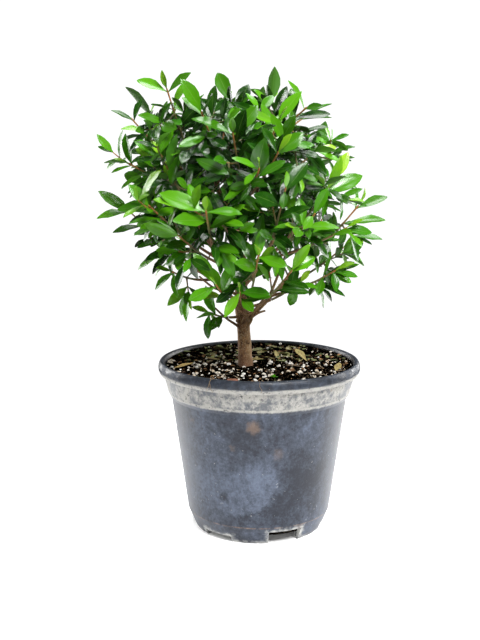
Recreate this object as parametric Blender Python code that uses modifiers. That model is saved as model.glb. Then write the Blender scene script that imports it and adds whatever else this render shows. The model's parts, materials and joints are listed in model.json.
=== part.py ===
"""A young brush cherry with a round crown, in a plain plastic nursery pot.

Metres, +Z up. The origin is the middle of the pot's underside, on the surface it stands on.
The crown is seen from the front along +Y, with +X to the right.
"""

import math
import random

import bmesh
import bpy
from mathutils import Matrix, Vector, noise
from mathutils.bvhtree import BVHTree

MM = 0.001
GAP = 0.3 * MM
WELD = 0.0002 * MM
SEED = 11

# Pot: a turned shell with a rolled lip, a flared band, a tapered wall and a chamfered foot
POT_HEIGHT = 138.8 * MM
LIP_RADIUS = 82.5 * MM
LIP_WIDTH = 5.5 * MM
LIP_DEPTH = 10.4 * MM
BAND_TOP_RADIUS = 78.2 * MM
LEDGE_HEIGHT = 109.6 * MM
LEDGE_RADIUS = 72.0 * MM
LEDGE_WIDTH = 2.4 * MM
LEDGE_RISE = 4.0 * MM
CHAMFER_HEIGHT = 15.0 * MM
CHAMFER_RADIUS = 58.9 * MM
FOOT_RADIUS = 52.9 * MM
FOOT_WIDTH = 4.4 * MM
FOOT_BEVEL = 0.8 * MM
FOOT_TAPER = 1.0 * MM
WALL = 1.8 * MM
FLOOR = 2.0 * MM
FLOOR_RISE = 4.0 * MM
PAD_RADIUS = 22.0 * MM
POT_STEPS = 32

# Drain slots through the foot: every second one is low
SLOT_COUNT = 6
SLOT_FIRST = math.radians(21.3)
SLOT_ANGLE = math.radians(28.0)
SLOT_HEIGHTS = (11.0 * MM, 5.0 * MM)
SLOT_RADII = (46.5 * MM, 66.0 * MM)

# Potting mix
MIX_TOP = 133.0 * MM
MIX_CROWN = 1.2 * MM
MIX_GRAIN = 1.0 * MM
HOLLOW_DEPTH = 1.6 * MM
HOLLOW_SPREAD = 28 * MM
MIX_RINGS = 6
LUMP_COUNT = 6
LUMP_PLACES = (20 * MM, 66 * MM)
LUMP_SIZES = (1.6 * MM, 2.6 * MM)
LUMP_SHAPE = (1.3, 0.9, 0.8, 1)

# Trunk: places of its middle and its radius, from the root end to the leader, in millimetres
TRUNK = (
    (-10.5, 0, 96, 5.2),
    (-10.5, 0, 118, 5.4),
    (-10.7, 0, 134, 5.8),
    (-12.0, 0, 152, 5.3),
    (-13.2, 0, 171, 5.4),
    (-14.0, 0, 186, 6.3),
    (-14.9, 0, 198, 5.3),
    (-15.0, 1, 216, 4.6),
    (-14.2, 0, 240, 3.8),
    (-14.0, -1, 262, 3.1),
    (-16.0, 1, 288, 2.4),
    (-18.0, 2, 311, 1.8),
)
TRUNK_HOLE = 6.9 * MM
LIMB_HEIGHTS = (0.168, 0.304)
LIMB_STEEPNESS = 0.55
LIMB_REACH = 0.45
LIMB_COUNT = 12
LIMB_RADII = (2.6 * MM, 1.5 * MM)
LIMB_SAG = 4 * MM
FORK_SHARES = (0.95, 0.55)
TWIG_RADII = (1.3 * MM, 1.0 * MM)
STUB = ((-7, 0, 173), (-1, -1, 177), (5, -1, 179))
STUB_RADII = (1.3 * MM, 0.8 * MM)

# Crown: an upright rounded box round this middle
CROWN_MIDDLE = Vector((-0.019, 0.0, 0.270))
CROWN_HALF_WIDTH = 0.095
CROWN_HALF_DEPTH = 0.095
CROWN_UP = 0.097
CROWN_DOWN = 0.086
CROWN_SQUARENESS = 2.7
SHOOT_REACH = 0.80
SITE_COUNT = 54
SITE_LOWEST = -0.66
SITE_CLEARANCE = 32 * MM
STEM_START = 0.45
STEM_RADII = (0.95 * MM, 0.75 * MM)
STEM_SAG = 6 * MM

# Leaves
LEAF_LENGTHS = (21 * MM, 29 * MM)
SHORTEST_LEAF = 17 * MM
LEAF_SLENDERNESS = (0.34, 0.44)
LEAF_THICKNESS = 0.7 * MM
LEAF_CLEARANCE = 0.45 * MM
LEAF_SINK = 0.6 * MM
JOINED_SHARE = 0.18
FOLD = 0.3
MIDRIB = 0.5
RIM_START = 0.1 * MM
YOUNG_LEAF = 0.6
LEAF_PLACES = (0.93, 0.93, 0.64, 0.64, 0.34, 1)
PAIR_LEAN = math.radians(52)
SIDE_PLACES = (0.25, 0.6)
SIDE_LENGTHS = (14 * MM, 21 * MM)
SIDE_LEAN = math.radians(50)
SIDE_TURNS = 8
SIDE_RADII = (0.75 * MM, 0.6 * MM)
SIDE_REACH = 0.74
SIDE_ROOM = 20 * MM
SIDE_LEAF_PLACES = (0.7, 0.7, 1)
SIDE_LEAF = 0.85
LIGHT_ABOVE = Vector((0, 0, 0.85))
LIGHT_OUTSIDE = 0.5
LIGHT_IN_FRONT = Vector((0, -0.45, 0))
FRONT_DEPTH = 20 * MM
LEAF_LIMITS = ((-131 * MM, 103.5 * MM), (-98.5 * MM, 96.5 * MM), (150 * MM, 375.5 * MM))
LEAF_TRIES = (
    (0, 0),
    (22, 0),
    (-22, 0),
    (0, -20),
    (0, 20),
    (40, -12),
    (-40, -12),
    (60, 10),
    (-60, 10),
    (90, 0),
    (-90, 0),
    (130, -15),
    (180, 0),
)

# Shoots that show from the front: the end of the stem, then leaf tips, in millimetres
SEEN_SHOOTS = {
    "left_crest": ((-90, 36, 335), ((-105, 42, 362),)),
    "twig_crest": ((-71, -30, 354), ((-94, -26, 363), (-54, -36, 367))),
    "middle_crest": ((-23, -2, 344), ((-34, 6, 370), (-23, -8, 358), (-45, -10, 355))),
    "right_crest": ((11, 40, 349), ((14, 42, 375), (-1, 48, 362))),
    "right_far_crest": ((35, -28, 340), ((24, -30, 362), (45, -36, 343), (54, -24, 337))),
    "bright_crest": ((13, -48, 330), ((29, -46, 353), (-7, -58, 336), (3, -40, 344))),
    "right_shoulder": ((48, 38, 309), ((57, 42, 330), (69, 34, 321), (39, 28, 318))),
    "right_upper": ((60, -22, 289), ((69, -20, 307), (74, -26, 299), (81, -16, 291), (64, -32, 302))),
    "right_wide": ((79, 0, 264), ((77, -8, 281), (103, 4, 273), (101, -2, 256), (80, 8, 249))),
    "right_middle": ((67, -30, 249), ((88, -28, 247), (83, -38, 242), (60, -44, 262))),
    "right_low": ((69, 14, 229), ((89, 16, 216), (76, 4, 219))),
    "right_under": ((61, -8, 213), ((80, -6, 208), (62, -14, 196), (46, -20, 196))),
    "right_hang": ((32, -22, 205), ((23, -20, 185), (45, -30, 203))),
    "front_right_low": ((-2, -74, 233), ((18, -84, 226), (0, -74, 252), (-17, -84, 232))),
    "front_low": ((-16, -58, 203), ((6, -66, 204), (-28, -62, 184), (-6, -60, 224), (-5, -70, 192))),
    "front_left_low": ((-34, -60, 209), ((-50, -62, 233), (-54, -66, 198), (-26, -66, 229))),
    "hanging_left": ((-41, -14, 180), ((-44, -16, 158), (-33, -6, 162), (-53, -20, 167))),
    "left_low": ((-77, 16, 227), ((-103, 18, 213), (-96, 8, 211))),
    "left_under": ((-69, -24, 214), ((-85, -24, 201), (-66, -34, 195), (-54, -42, 225))),
    "left_wide": ((-106, -4, 262), ((-128, -6, 277), (-131, -2, 258), (-118, -8, 245), (-86, -22, 284))),
    "left_shoulder": ((-103, 14, 333), ((-118, 10, 341), (-104, 20, 351), (-112, 6, 317))),
    "left_upper": ((-101, -26, 298), ((-116, -26, 292), (-105, -32, 320))),
    "front_v": ((-40, -87, 266), ((-72, -88, 281), (-14, -92, 267), (-53, -97, 283), (-62, -98, 264))),
    "front_crest": ((-21, -66, 321), ((-49, -62, 336), (-2, -62, 341), (-22, -78, 335))),
    "front_left_high": ((-74, -58, 305), ((-93, -58, 318), (-98, -54, 308), (-79, -68, 323))),
    "front_right_high": ((12, -74, 307), ((30, -74, 321), (2, -82, 325), (-7, -78, 316))),
    "front_right": ((17, -84, 282), ((14, -96, 269), (33, -76, 301), (-3, -92, 277))),
    "front_middle": ((-2, -88, 296), ((-20, -92, 306), (-11, -98, 289), (1, -92, 315))),
    "right_front": ((40, -60, 262), ((31, -74, 252), (48, -64, 281), (59, -58, 254))),
}

# Dry leaves on the mix: place of the middle, turn and tilt in degrees, length and width
FALLEN_LEAVES = (
    ((-62, -10), -72, 4, 18, 7),
    ((36, 26), 24, 12, 22, 7),
    ((18, 65), 84, 5, 15, 7),
    ((63, -17), -16, 6, 16, 6),
)


def make_material(name, colour, roughness):
    """A plain finish: colour, roughness, no metal."""
    material = bpy.data.materials.new(name)
    material.use_nodes = True
    shader = material.node_tree.nodes["Principled BSDF"]
    shader.inputs["Base Color"].default_value = (*colour, 1)
    shader.inputs["Roughness"].default_value = roughness
    shader.inputs["Metallic"].default_value = 0
    return material


def make_collections():
    """The tree's own collection, and a hidden one for cutters."""
    tree = bpy.data.collections.new("brush_cherry_bonsai")
    cutters = bpy.data.collections.new("cutters")
    cutters.hide_render = True
    for collection in (tree, cutters):
        bpy.context.scene.collection.children.link(collection)
    return tree, cutters


def add_object(name, mesh, collection, material=None):
    obj = bpy.data.objects.new(name, mesh)
    collection.objects.link(obj)
    if material:
        mesh.materials.clear()
        mesh.materials.append(material)
    return obj


def bake(obj):
    """Applies the object's modifiers, or turns its curve into a mesh, with caps and poles welded."""
    graph = bpy.context.evaluated_depsgraph_get()
    mesh = bpy.data.meshes.new_from_object(obj.evaluated_get(graph))
    bm = bmesh.new()
    bm.from_mesh(mesh)
    bmesh.ops.remove_doubles(bm, verts=bm.verts, dist=WELD)
    bmesh.ops.dissolve_degenerate(bm, edges=bm.edges, dist=WELD)
    bm.to_mesh(mesh)
    bm.free()
    return mesh


def remove(obj):
    bpy.data.objects.remove(obj, do_unlink=True)


def turn(name, profile, steps, collection, material):
    """A turned solid: the profile runs from the axis, up its inner side and down its outer one."""
    bm = bmesh.new()
    points = [bm.verts.new((radius, 0, height)) for radius, height in profile]
    for start, end in zip(points, points[1:]):
        bm.edges.new((start, end))
    mesh = bpy.data.meshes.new(name)
    bm.to_mesh(mesh)
    bm.free()
    obj = add_object(name, mesh, collection, material)
    screw = obj.modifiers.new("turn", "SCREW")
    screw.axis = "Z"
    screw.steps = screw.render_steps = steps
    screw.use_merge_vertices = True
    screw.merge_threshold = 0.01 * MM
    mesh = bake(obj)
    remove(obj)
    return add_object(name, mesh, collection, material)


def tube(name, path, radii, collection, material, extra_sides=0):
    """A round rod along the path, as a mesh. The radii are one a point, or the two ends' radii."""
    curve = bpy.data.curves.new(name, "CURVE")
    curve.dimensions = "3D"
    curve.bevel_depth = MM
    curve.bevel_resolution = extra_sides
    curve.use_fill_caps = True
    spline = curve.splines.new("POLY")
    spline.points.add(len(path) - 1)
    for index, (point, place) in enumerate(zip(spline.points, path)):
        point.co = (*place, 1)
        if len(radii) == len(path):
            point.radius = radii[index] / MM
        else:
            share = index / (len(path) - 1)
            point.radius = (radii[0] + (radii[1] - radii[0]) * share) / MM
    drawn = add_object(name + "_curve", curve, collection)
    mesh = bake(drawn)
    remove(drawn)
    bpy.data.curves.remove(curve)
    return add_object(name, mesh, collection, material)


def boolean(body, operation, target, solver="EXACT"):
    """Unites the body with a collection, or cuts an object out of it, and applies the result."""
    modifier = body.modifiers.new(operation.lower(), "BOOLEAN")
    modifier.operation = operation
    modifier.solver = solver
    if operation == "UNION":
        modifier.operand_type = "COLLECTION"
        modifier.collection = target
    else:
        modifier.object = target
    mesh = bake(body)
    body.modifiers.clear()
    mesh.materials.clear()
    mesh.materials.append(body.data.materials[0])
    body.data = mesh


def fuse(body, pieces):
    """Joins the pieces to the body as one closed solid, then removes them."""
    group = bpy.data.collections.new("repeats")
    bpy.context.scene.collection.children.link(group)
    for piece in pieces:
        piece.users_collection[0].objects.unlink(piece)
        group.objects.link(piece)
    boolean(body, "UNION", group, "MANIFOLD")
    for piece in pieces:
        remove(piece)
    bpy.data.collections.remove(group)


def cut(body, cutter):
    """Cuts the hidden cutter out of the body, then removes it."""
    cutter.hide_render = True
    cutter.display_type = "WIRE"
    boolean(body, "DIFFERENCE", cutter)
    remove(cutter)


def lip_arc():
    """The rolled lip, as part of an upright oval, from its inner side over the top and under."""
    middle = LIP_RADIUS - LIP_WIDTH / 2
    for degrees in (170, 110, 55, 0, -65):
        angle = math.radians(degrees)
        height = POT_HEIGHT - LIP_DEPTH / 2 * (1 - math.sin(angle))
        yield middle + LIP_WIDTH / 2 * math.cos(angle), height


def inner_wall():
    """The pot's inside from the floor's edge to the lip, offset from the outside by the wall."""
    band_height = POT_HEIGHT - LIP_DEPTH
    return [
        (FOOT_RADIUS - WALL, FLOOR_RISE + FLOOR),
        (CHAMFER_RADIUS - WALL, CHAMFER_HEIGHT),
        (LEDGE_RADIUS - WALL, LEDGE_HEIGHT),
        (LEDGE_RADIUS + LEDGE_WIDTH - WALL, LEDGE_HEIGHT + LEDGE_RISE),
        (BAND_TOP_RADIUS - WALL, band_height),
    ]


def make_pot(collection, cutters, material):
    inner = inner_wall()
    profile = [(0, FLOOR), (PAD_RADIUS - FLOOR, FLOOR), (PAD_RADIUS + FLOOR, FLOOR + FLOOR_RISE)]
    profile += inner
    profile += lip_arc()
    profile += [(radius + WALL, height) for radius, height in reversed(inner[1:])]
    profile += [
        (FOOT_RADIUS, FOOT_BEVEL),
        (FOOT_RADIUS - FOOT_BEVEL, 0),
        (FOOT_RADIUS - FOOT_WIDTH, 0),
        (FOOT_RADIUS - FOOT_WIDTH - FOOT_TAPER, FLOOR_RISE),
        (PAD_RADIUS + FLOOR, FLOOR_RISE),
        (PAD_RADIUS, 0),
        (0, 0),
    ]
    pot = turn("pot", profile, POT_STEPS, collection, material)
    for index in range(SLOT_COUNT):
        cut(pot, make_slot(index, cutters))
    return pot


def make_slot(index, cutters):
    """A wedge that opens the foot between two radial faces, from the floor's edge outwards."""
    height = SLOT_HEIGHTS[index % len(SLOT_HEIGHTS)]
    turned = SLOT_FIRST + index * math.tau / SLOT_COUNT - math.pi / 2
    bm = bmesh.new()
    bmesh.ops.create_cube(bm, size=1)
    for vert in bm.verts:
        radius = SLOT_RADII[0] if vert.co.x < 0 else SLOT_RADII[1]
        angle = turned + math.copysign(SLOT_ANGLE / 2, vert.co.y)
        level = height if vert.co.z > 0 else -MM
        vert.co = (radius * math.cos(angle), radius * math.sin(angle), level)
    mesh = bpy.data.meshes.new("slot")
    bm.to_mesh(mesh)
    bm.free()
    return add_object("slot", mesh, cutters)


def mix_height(x, y, grain):
    """The mix's surface: a low crown towards the trunk, soft hollows and a grain of bumps."""
    spread = math.hypot(x, y) / BAND_TOP_RADIUS
    hollows = noise.noise(Vector((x, y, 0)) / HOLLOW_SPREAD) * HOLLOW_DEPTH
    return MIX_TOP + MIX_CROWN * (1 - spread**2) + hollows * (1 - spread**4) + grain


def make_mix(collection, cutters, material):
    """Fills the pot, with a bumpy top, a few standing lumps and a plain hole for the trunk."""
    inner = [(radius - GAP, height + GAP) for radius, height in inner_wall()]
    outer = inner[-1][0] + 0.2 * MM
    profile = [(outer * ring / MIX_RINGS, MIX_TOP) for ring in range(MIX_RINGS + 1)]
    profile += reversed(inner)
    profile += [(PAD_RADIUS + FLOOR, inner[0][1]), (PAD_RADIUS - FLOOR, FLOOR + GAP), (0, FLOOR + GAP)]
    mix = turn("potting_mix", profile, POT_STEPS, collection, material)
    draw = random.Random(SEED)
    for vert in mix.data.vertices:
        if vert.co.z > MIX_TOP - 0.01 * MM:
            grain = draw.uniform(-1, 1) * MIX_GRAIN
            vert.co.z = mix_height(vert.co.x, vert.co.y, grain)
    lumps = [make_lump(draw, cutters) for _ in range(LUMP_COUNT)]
    fuse(mix, lumps)
    cut(mix, make_hole(cutters))
    return mix


def make_lump(draw, cutters):
    """A grain of perlite or bark, half sunk in the mix."""
    around = draw.uniform(0, math.tau)
    out = draw.uniform(*LUMP_PLACES)
    x, y = out * math.cos(around), out * math.sin(around)
    size = draw.uniform(*LUMP_SIZES)
    shape = Matrix.Diagonal(LUMP_SHAPE)
    place = Matrix.Translation((x, y, mix_height(x, y, MIX_GRAIN / 2)))
    bm = bmesh.new()
    bmesh.ops.create_icosphere(bm, subdivisions=1, radius=size)
    bmesh.ops.transform(bm, matrix=place @ Matrix.Rotation(around, 4, "Z") @ shape, verts=bm.verts)
    mesh = bpy.data.meshes.new("lump")
    bm.to_mesh(mesh)
    bm.free()
    return add_object("lump", mesh, cutters)


def make_hole(cutters):
    """The cutter for the trunk's hole."""
    x, y, root_end, _ = TRUNK[0]
    low = root_end * MM - GAP
    high = MIX_TOP + 20 * MM
    place = Matrix.Translation((x * MM, y * MM, (low + high) / 2))
    bm = bmesh.new()
    bmesh.ops.create_cone(
        bm, cap_ends=True, segments=12, radius1=TRUNK_HOLE, radius2=TRUNK_HOLE, depth=high - low, matrix=place
    )
    mesh = bpy.data.meshes.new("hole")
    bm.to_mesh(mesh)
    bm.free()
    return add_object("hole", mesh, cutters)


def trunk_at(height):
    """The trunk's middle at a height."""
    for (x0, y0, z0, _), (x1, y1, z1, _) in zip(TRUNK, TRUNK[1:]):
        if height <= z1 * MM:
            break
    share = min(1, (height - z0 * MM) / ((z1 - z0) * MM))
    return Vector((x0, y0, z0)).lerp(Vector((x1, y1, z1)), share) * MM


def crown_reach(direction):
    """How far the crown's surface lies from its middle in a direction."""
    upward = CROWN_UP if direction.z > 0 else CROWN_DOWN
    halves = (CROWN_HALF_WIDTH, CROWN_HALF_DEPTH, upward)
    total = sum(abs(part / half) ** CROWN_SQUARENESS for part, half in zip(direction, halves))
    return total ** (-1 / CROWN_SQUARENESS)


def spread_directions(count, lowest):
    """Directions spread evenly over a ball, down to a lowest height, by the golden angle."""
    golden = math.pi * (3 - math.sqrt(5))
    for index in range(count):
        height = 1 - (1 - lowest) * (index + 0.5) / count
        around = index * golden
        flat = math.sqrt(1 - height**2)
        yield Vector((flat * math.cos(around), flat * math.sin(around), height))


def plan_shoots():
    """(name, end of stem, seen leaf tips) of every shoot: those seen, then the rest by rule."""
    shoots = []
    for name, (end, tips) in SEEN_SHOOTS.items():
        shoots.append(("shoot_" + name, Vector(end) * MM, [Vector(tip) * MM for tip in tips]))
    seen = [end for _, end, _ in shoots]
    for direction in spread_directions(SITE_COUNT, SITE_LOWEST):
        end = CROWN_MIDDLE + direction * crown_reach(direction) * SHOOT_REACH
        if all((end - other).length > SITE_CLEARANCE for other in seen):
            shoots.append((f"shoot_{len(shoots) + 1}", end, []))
    return shoots


def arc(start, sag, end, first, last, count):
    """Points of a curve that leaves start flatly and rises to end, between two of its shares."""
    bend = (start + end) / 2 - Vector((0, 0, sag))
    for index in range(count):
        share = first + (last - first) * index / (count - 1)
        yield start.lerp(bend, share).lerp(bend.lerp(end, share), share)


def group_by_limb(shoots):
    """The shoots of each limb: each goes with the limb that points most nearly its way."""
    limbs = list(spread_directions(LIMB_COUNT, SITE_LOWEST))
    groups = [[] for _ in limbs]
    for shoot in shoots:
        way = shoot[1] - CROWN_MIDDLE
        best = max(range(LIMB_COUNT), key=lambda index: limbs[index].dot(way))
        groups[best].append(shoot)
    return [group for group in groups if group]


def limb_height(end):
    """The height at which the wood that leads to a shoot leaves the trunk."""
    flat = math.hypot(end.x - CROWN_MIDDLE.x, end.y)
    lowest, highest = LIMB_HEIGHTS
    return min(max(end.z - LIMB_STEEPNESS * flat, lowest), highest)


def plan_wood(shoots):
    """Paths of the limbs, and of the curve that leads from its limb through each shoot."""
    limbs = []
    leads = {}
    for group in group_by_limb(shoots):
        start = trunk_at(min(limb_height(end) for _, end, _ in group))
        mean = sum((end for _, end, _ in group), Vector()) / len(group)
        tip = start.lerp(mean, LIMB_REACH)
        limbs.append(list(arc(start, LIMB_SAG, tip, 0, 1, 3)))
        forks = arc(start, LIMB_SAG, tip, *FORK_SHARES, max(2, len(group)))
        for (name, end, _), fork in zip(group, forks):
            leads[name] = (fork, end)
    return limbs, leads


def make_trunk(limbs, leads, collection, material):
    """The trunk with its limbs, twigs and one dead stub, grown as one piece."""
    path = [Vector(place[:3]) * MM for place in TRUNK]
    trunk = tube("trunk", path, [place[3] * MM for place in TRUNK], collection, material, 2)
    wood = [tube("limb", limb, LIMB_RADII, collection, material) for limb in limbs]
    for fork, end in leads.values():
        twig = list(arc(fork, STEM_SAG, end, 0, STEM_START, 3))
        wood.append(tube("twig", twig, TWIG_RADII, collection, material))
    stub = [Vector(place) * MM for place in STUB]
    wood.append(tube("stub", stub, STUB_RADII, collection, material))
    fuse(trunk, wood)
    return trunk


def stem_path(fork, end):
    """The green stem's path: it starts one gap past the flat end of its twig."""
    path = list(arc(fork, STEM_SAG, end, STEM_START, 1, 3))
    path[0] += (path[1] - path[0]).normalized() * GAP
    return path


def along(path, share):
    """The point at a share of a path's pieces, and the way the path runs there."""
    place = share * (len(path) - 1)
    index = min(int(place), len(path) - 2)
    point = path[index].lerp(path[index + 1], place - index)
    return point, (path[index + 1] - path[index]).normalized()


def plan_leaf(path, share, number, draw):
    """One leaf as (root, stem's way, leaf's way, length, width, arch, roll).

    At the stem's end the leaf goes on along it. Elsewhere it is one of an opposite pair, and
    each pair is turned a quarter from the next.
    """
    length = draw.uniform(*LEAF_LENGTHS)
    slenderness = draw.uniform(*LEAF_SLENDERNESS)
    arch = draw.uniform(0.06, 0.2)
    roll = draw.gauss(0, 0.35)
    turned = draw.gauss(0, 0.3)
    lean = PAIR_LEAN + draw.gauss(0, 0.16)
    root, stem = along(path, share)
    if share == 1:
        way = (stem + Vector((draw.gauss(0, 0.2), draw.gauss(0, 0.2), 0.1))).normalized()
    else:
        side = stem.cross(Vector((0, 0, 1))).normalized()
        quarter = math.pi / 2 * (number // 2) + math.pi * (number % 2) + turned
        side = Matrix.Rotation(quarter, 3, stem) @ side
        way = stem * math.cos(lean) + side * math.sin(lean)
    return root, stem, way, length, length * slenderness, arch, roll


def plan_leaves(shoot, path, draw):
    """The leaves of a shoot's own stem. The seen ones come first and reach their seen tips."""
    tips = shoot[2]
    leaves = []
    for number, share in enumerate(LEAF_PLACES):
        root, stem, way, length, width, arch, roll = plan_leaf(path, share, number, draw)
        if number < len(tips):
            slenderness = width / length
            way = tips[number] - root
            length = max(way.length, SHORTEST_LEAF)
            width = length * slenderness
            way.normalize()
        elif share == 1 and tips:
            length, width = length * YOUNG_LEAF, width * YOUNG_LEAF
        leaves.append((root, stem, way, length, width, arch, roll))
    return leaves


def plan_side_leaves(root, end, draw):
    """The smaller leaves of a side stem: one pair and one at its end."""
    leaves = []
    for number, share in enumerate(SIDE_LEAF_PLACES):
        place, stem, way, length, width, arch, roll = plan_leaf([root, end], share, number, draw)
        leaves.append((place, stem, way, length * SIDE_LEAF, width * SIDE_LEAF, arch, roll))
    return leaves


def side_ends(path, others, draw):
    """For each side stem its root and its possible ends, the one with most room first."""
    for share in SIDE_PLACES:
        length = draw.uniform(*SIDE_LENGTHS)
        first = draw.uniform(0, math.tau)
        root, stem = along(path, share)
        side = stem.cross(Vector((0, 0, 1))).normalized()
        ends = []
        for number in range(SIDE_TURNS):
            turned = Matrix.Rotation(first + number * math.tau / SIDE_TURNS, 3, stem) @ side
            end = root + (stem * math.cos(SIDE_LEAN) + turned * math.sin(SIDE_LEAN)) * length
            way = end - CROWN_MIDDLE
            room = min((end - other).length for other in others)
            if room > SIDE_ROOM and way.length < crown_reach(way.normalized()) * SIDE_REACH:
                ends.append((room, end))
        yield root, [end for _, end in sorted(ends, key=lambda choice: -choice[0])]


def facing(root, way, roll):
    """The way a blade's upper face looks: to the light, above and outside the crown."""
    out = Vector((root.x - CROWN_MIDDLE.x, root.y, 0)).normalized()
    front = LIGHT_IN_FRONT if root.y < FRONT_DEPTH else Vector()
    light = LIGHT_ABOVE + out * LIGHT_OUTSIDE + front
    face = (light - way * light.dot(way)).normalized()
    return Matrix.Rotation(roll, 3, way) @ face


def sheet(length, width, arch, start):
    """A flat leaf along +Y, face up: a long hexagon, arched along and folded at its midrib."""
    bm = bmesh.new()
    bmesh.ops.create_circle(bm, cap_ends=True, segments=6, radius=1)
    for vert in bm.verts:
        row = vert.co.y
        share = start if row < -0.9 else 0.3 if row < 0 else 0.7 if row < 0.9 else 1
        half = math.copysign(width / 2, vert.co.x) if abs(row) < 0.9 else 0
        lift = abs(half) * FOLD - arch * length * share**2
        vert.co = (half, length * share, lift)
    midrib = bmesh.ops.poke(bm, faces=bm.faces[:])["verts"][0]
    midrib.co = (0, length * MIDRIB, -arch * length * MIDRIB**2)
    return bm


def block(length, width, arch, thickness, start=0.0):
    """The room that a leaf takes, with upright sides all round."""
    bm = sheet(length, width, arch, start)
    bmesh.ops.solidify(bm, geom=bm.faces[:], thickness=thickness)
    bmesh.ops.translate(bm, verts=bm.verts, vec=(0, 0, thickness / 2))
    return bm


def blade(length, width, arch):
    """A leaf as a solid: full thickness at its midrib, and a thin rim all round."""
    bm = sheet(length, width, arch, 0)
    upper = bm.faces[:]
    copied = bmesh.ops.duplicate(bm, geom=upper)["geom"]
    lower = [item for item in copied if isinstance(item, bmesh.types.BMFace)]
    bmesh.ops.reverse_faces(bm, faces=lower)
    for faces, lift in ((upper, LEAF_THICKNESS / 2), (lower, -LEAF_THICKNESS / 2)):
        for vert in {vert for face in faces for vert in face.verts}:
            if abs(vert.co.y - length * MIDRIB) < RIM_START:
                vert.co.z += lift
    bmesh.ops.remove_doubles(bm, verts=bm.verts, dist=0.001 * MM)
    bmesh.ops.recalc_face_normals(bm, faces=bm.faces)
    return bm


def leaf_place(root, way, roll):
    """The matrix that puts a blade at its root, along its way, with its face to the light."""
    face = facing(root, way, roll)
    across = way.cross(face)
    turned = Matrix((across, way, face)).transposed().to_4x4()
    return Matrix.Translation(root - way * LEAF_SINK) @ turned


def tries(leaf):
    """The leaf as planned, then turned round its stem and bent up or down."""
    root, stem, way, length, width, arch, roll = leaf
    for turned, bent in LEAF_TRIES:
        tried = Matrix.Rotation(math.radians(turned), 3, stem) @ way
        hinge = tried.cross(stem)
        if hinge.length > 0.01:
            tried = Matrix.Rotation(math.radians(bent), 3, hinge.normalized()) @ tried
        yield root, tried, length, width, arch, roll


def tree_of(bm, matrix=None):
    if matrix:
        bmesh.ops.transform(bm, matrix=matrix, verts=bm.verts)
    tree = BVHTree.FromBMesh(bm)
    bm.free()
    return tree


def tree_of_object(obj):
    bm = bmesh.new()
    bm.from_mesh(obj.data)
    return tree_of(bm)


def is_clear(owner, whole, outer, placed):
    """Whether a leaf keeps clear of what is placed. In its own shoot only the outer parts count."""
    for other, other_whole, other_outer in placed:
        if other != owner:
            if whole.overlap(other_whole):
                return False
        elif other_outer and outer.overlap(other_outer):
            return False
    return True


def is_within(point):
    return all(low < part < high for part, (low, high) in zip(point, LEAF_LIMITS))


def place_leaf(owner, leaf, placed, collection, material):
    """Adds the leaf at the first of its tries that is clear, or leaves it out."""
    for root, way, length, width, arch, roll in tries(leaf):
        if not is_within(root + way * length):
            continue
        place = leaf_place(root, way, roll)
        thick = LEAF_THICKNESS + 2 * LEAF_CLEARANCE
        whole = tree_of(block(length + LEAF_CLEARANCE, width + 2 * LEAF_CLEARANCE, arch, thick), place)
        outer = tree_of(block(length, width, arch, thick, JOINED_SHARE), place)
        if is_clear(owner, whole, outer, placed):
            placed.append((owner, whole, outer))
            bm = blade(length, width, arch)
            bmesh.ops.transform(bm, matrix=place, verts=bm.verts)
            mesh = bpy.data.meshes.new("leaf")
            bm.to_mesh(mesh)
            bm.free()
            return add_object("leaf", mesh, collection, material)
    return None


def place_side(owner, root, ends, placed, collection, material):
    """Adds a side stem to the first end that is clear. Returns it with its end, or nothing."""
    for end in ends:
        radii = [radius + LEAF_CLEARANCE for radius in SIDE_RADII]
        room = tube("room", [root, end], radii, collection, material)
        outer = tube("outer", [root.lerp(end, 0.3), end], radii, collection, material)
        whole_tree, outer_tree = tree_of_object(room), tree_of_object(outer)
        remove(room)
        remove(outer)
        if is_clear(owner, whole_tree, outer_tree, placed):
            placed.append((owner, whole_tree, outer_tree))
            return tube("side", [root, end], SIDE_RADII, collection, material), end
    return None


def make_shoots(shoots, leads, trunk, collection, material):
    """All the stems, then the seen leaves, the ruled ones and those of side stems, each kept clear."""
    placed = [("trunk", tree_of_object(trunk), None)]
    stems = {}
    grown = {}
    plans = {}
    for index, shoot in enumerate(shoots):
        name = shoot[0]
        path = stem_path(*leads[name])
        stems[name] = tube(name, path, STEM_RADII, collection, material)
        seen = len(shoot[2])
        leaves = plan_leaves(shoot, path, random.Random(SEED + index))
        plans[name] = [leaves[:seen], leaves[seen:], []]
        placed.append((name, tree_of_object(stems[name]), None))
        grown[name] = []
    ends = [end for _, end, _ in shoots]
    for index, (name, _, _) in enumerate(shoots):
        draw = random.Random(SEED + SITE_COUNT + index)
        for root, choices in side_ends(stem_path(*leads[name]), ends, draw):
            side = place_side(name, root, choices, placed, collection, material)
            if side:
                grown[name].append(side[0])
                ends.append(side[1])
                plans[name][2] += plan_side_leaves(root, side[1], draw)
    for stage in range(3):
        for name, _, _ in shoots:
            for leaf in plans[name][stage]:
                grown[name].append(place_leaf(name, leaf, placed, collection, material))
    for name, stem in stems.items():
        fuse(stem, [piece for piece in grown[name] if piece])


def rest_on(obj, ground):
    """Lowers the object until it lies one gap above the ground."""
    ground_tree = tree_of_object(ground)
    own_tree = tree_of_object(obj)
    drops = []
    for vert in obj.data.vertices:
        hit = ground_tree.ray_cast(vert.co, Vector((0, 0, -1)))
        drops.append(hit[3] if hit[3] else 1)
    for vert in ground.data.vertices:
        hit = own_tree.ray_cast(vert.co, Vector((0, 0, 1)))
        drops.append(hit[3] if hit[3] else 1)
    obj.data.transform(Matrix.Translation((0, 0, GAP - min(drops))))


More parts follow.
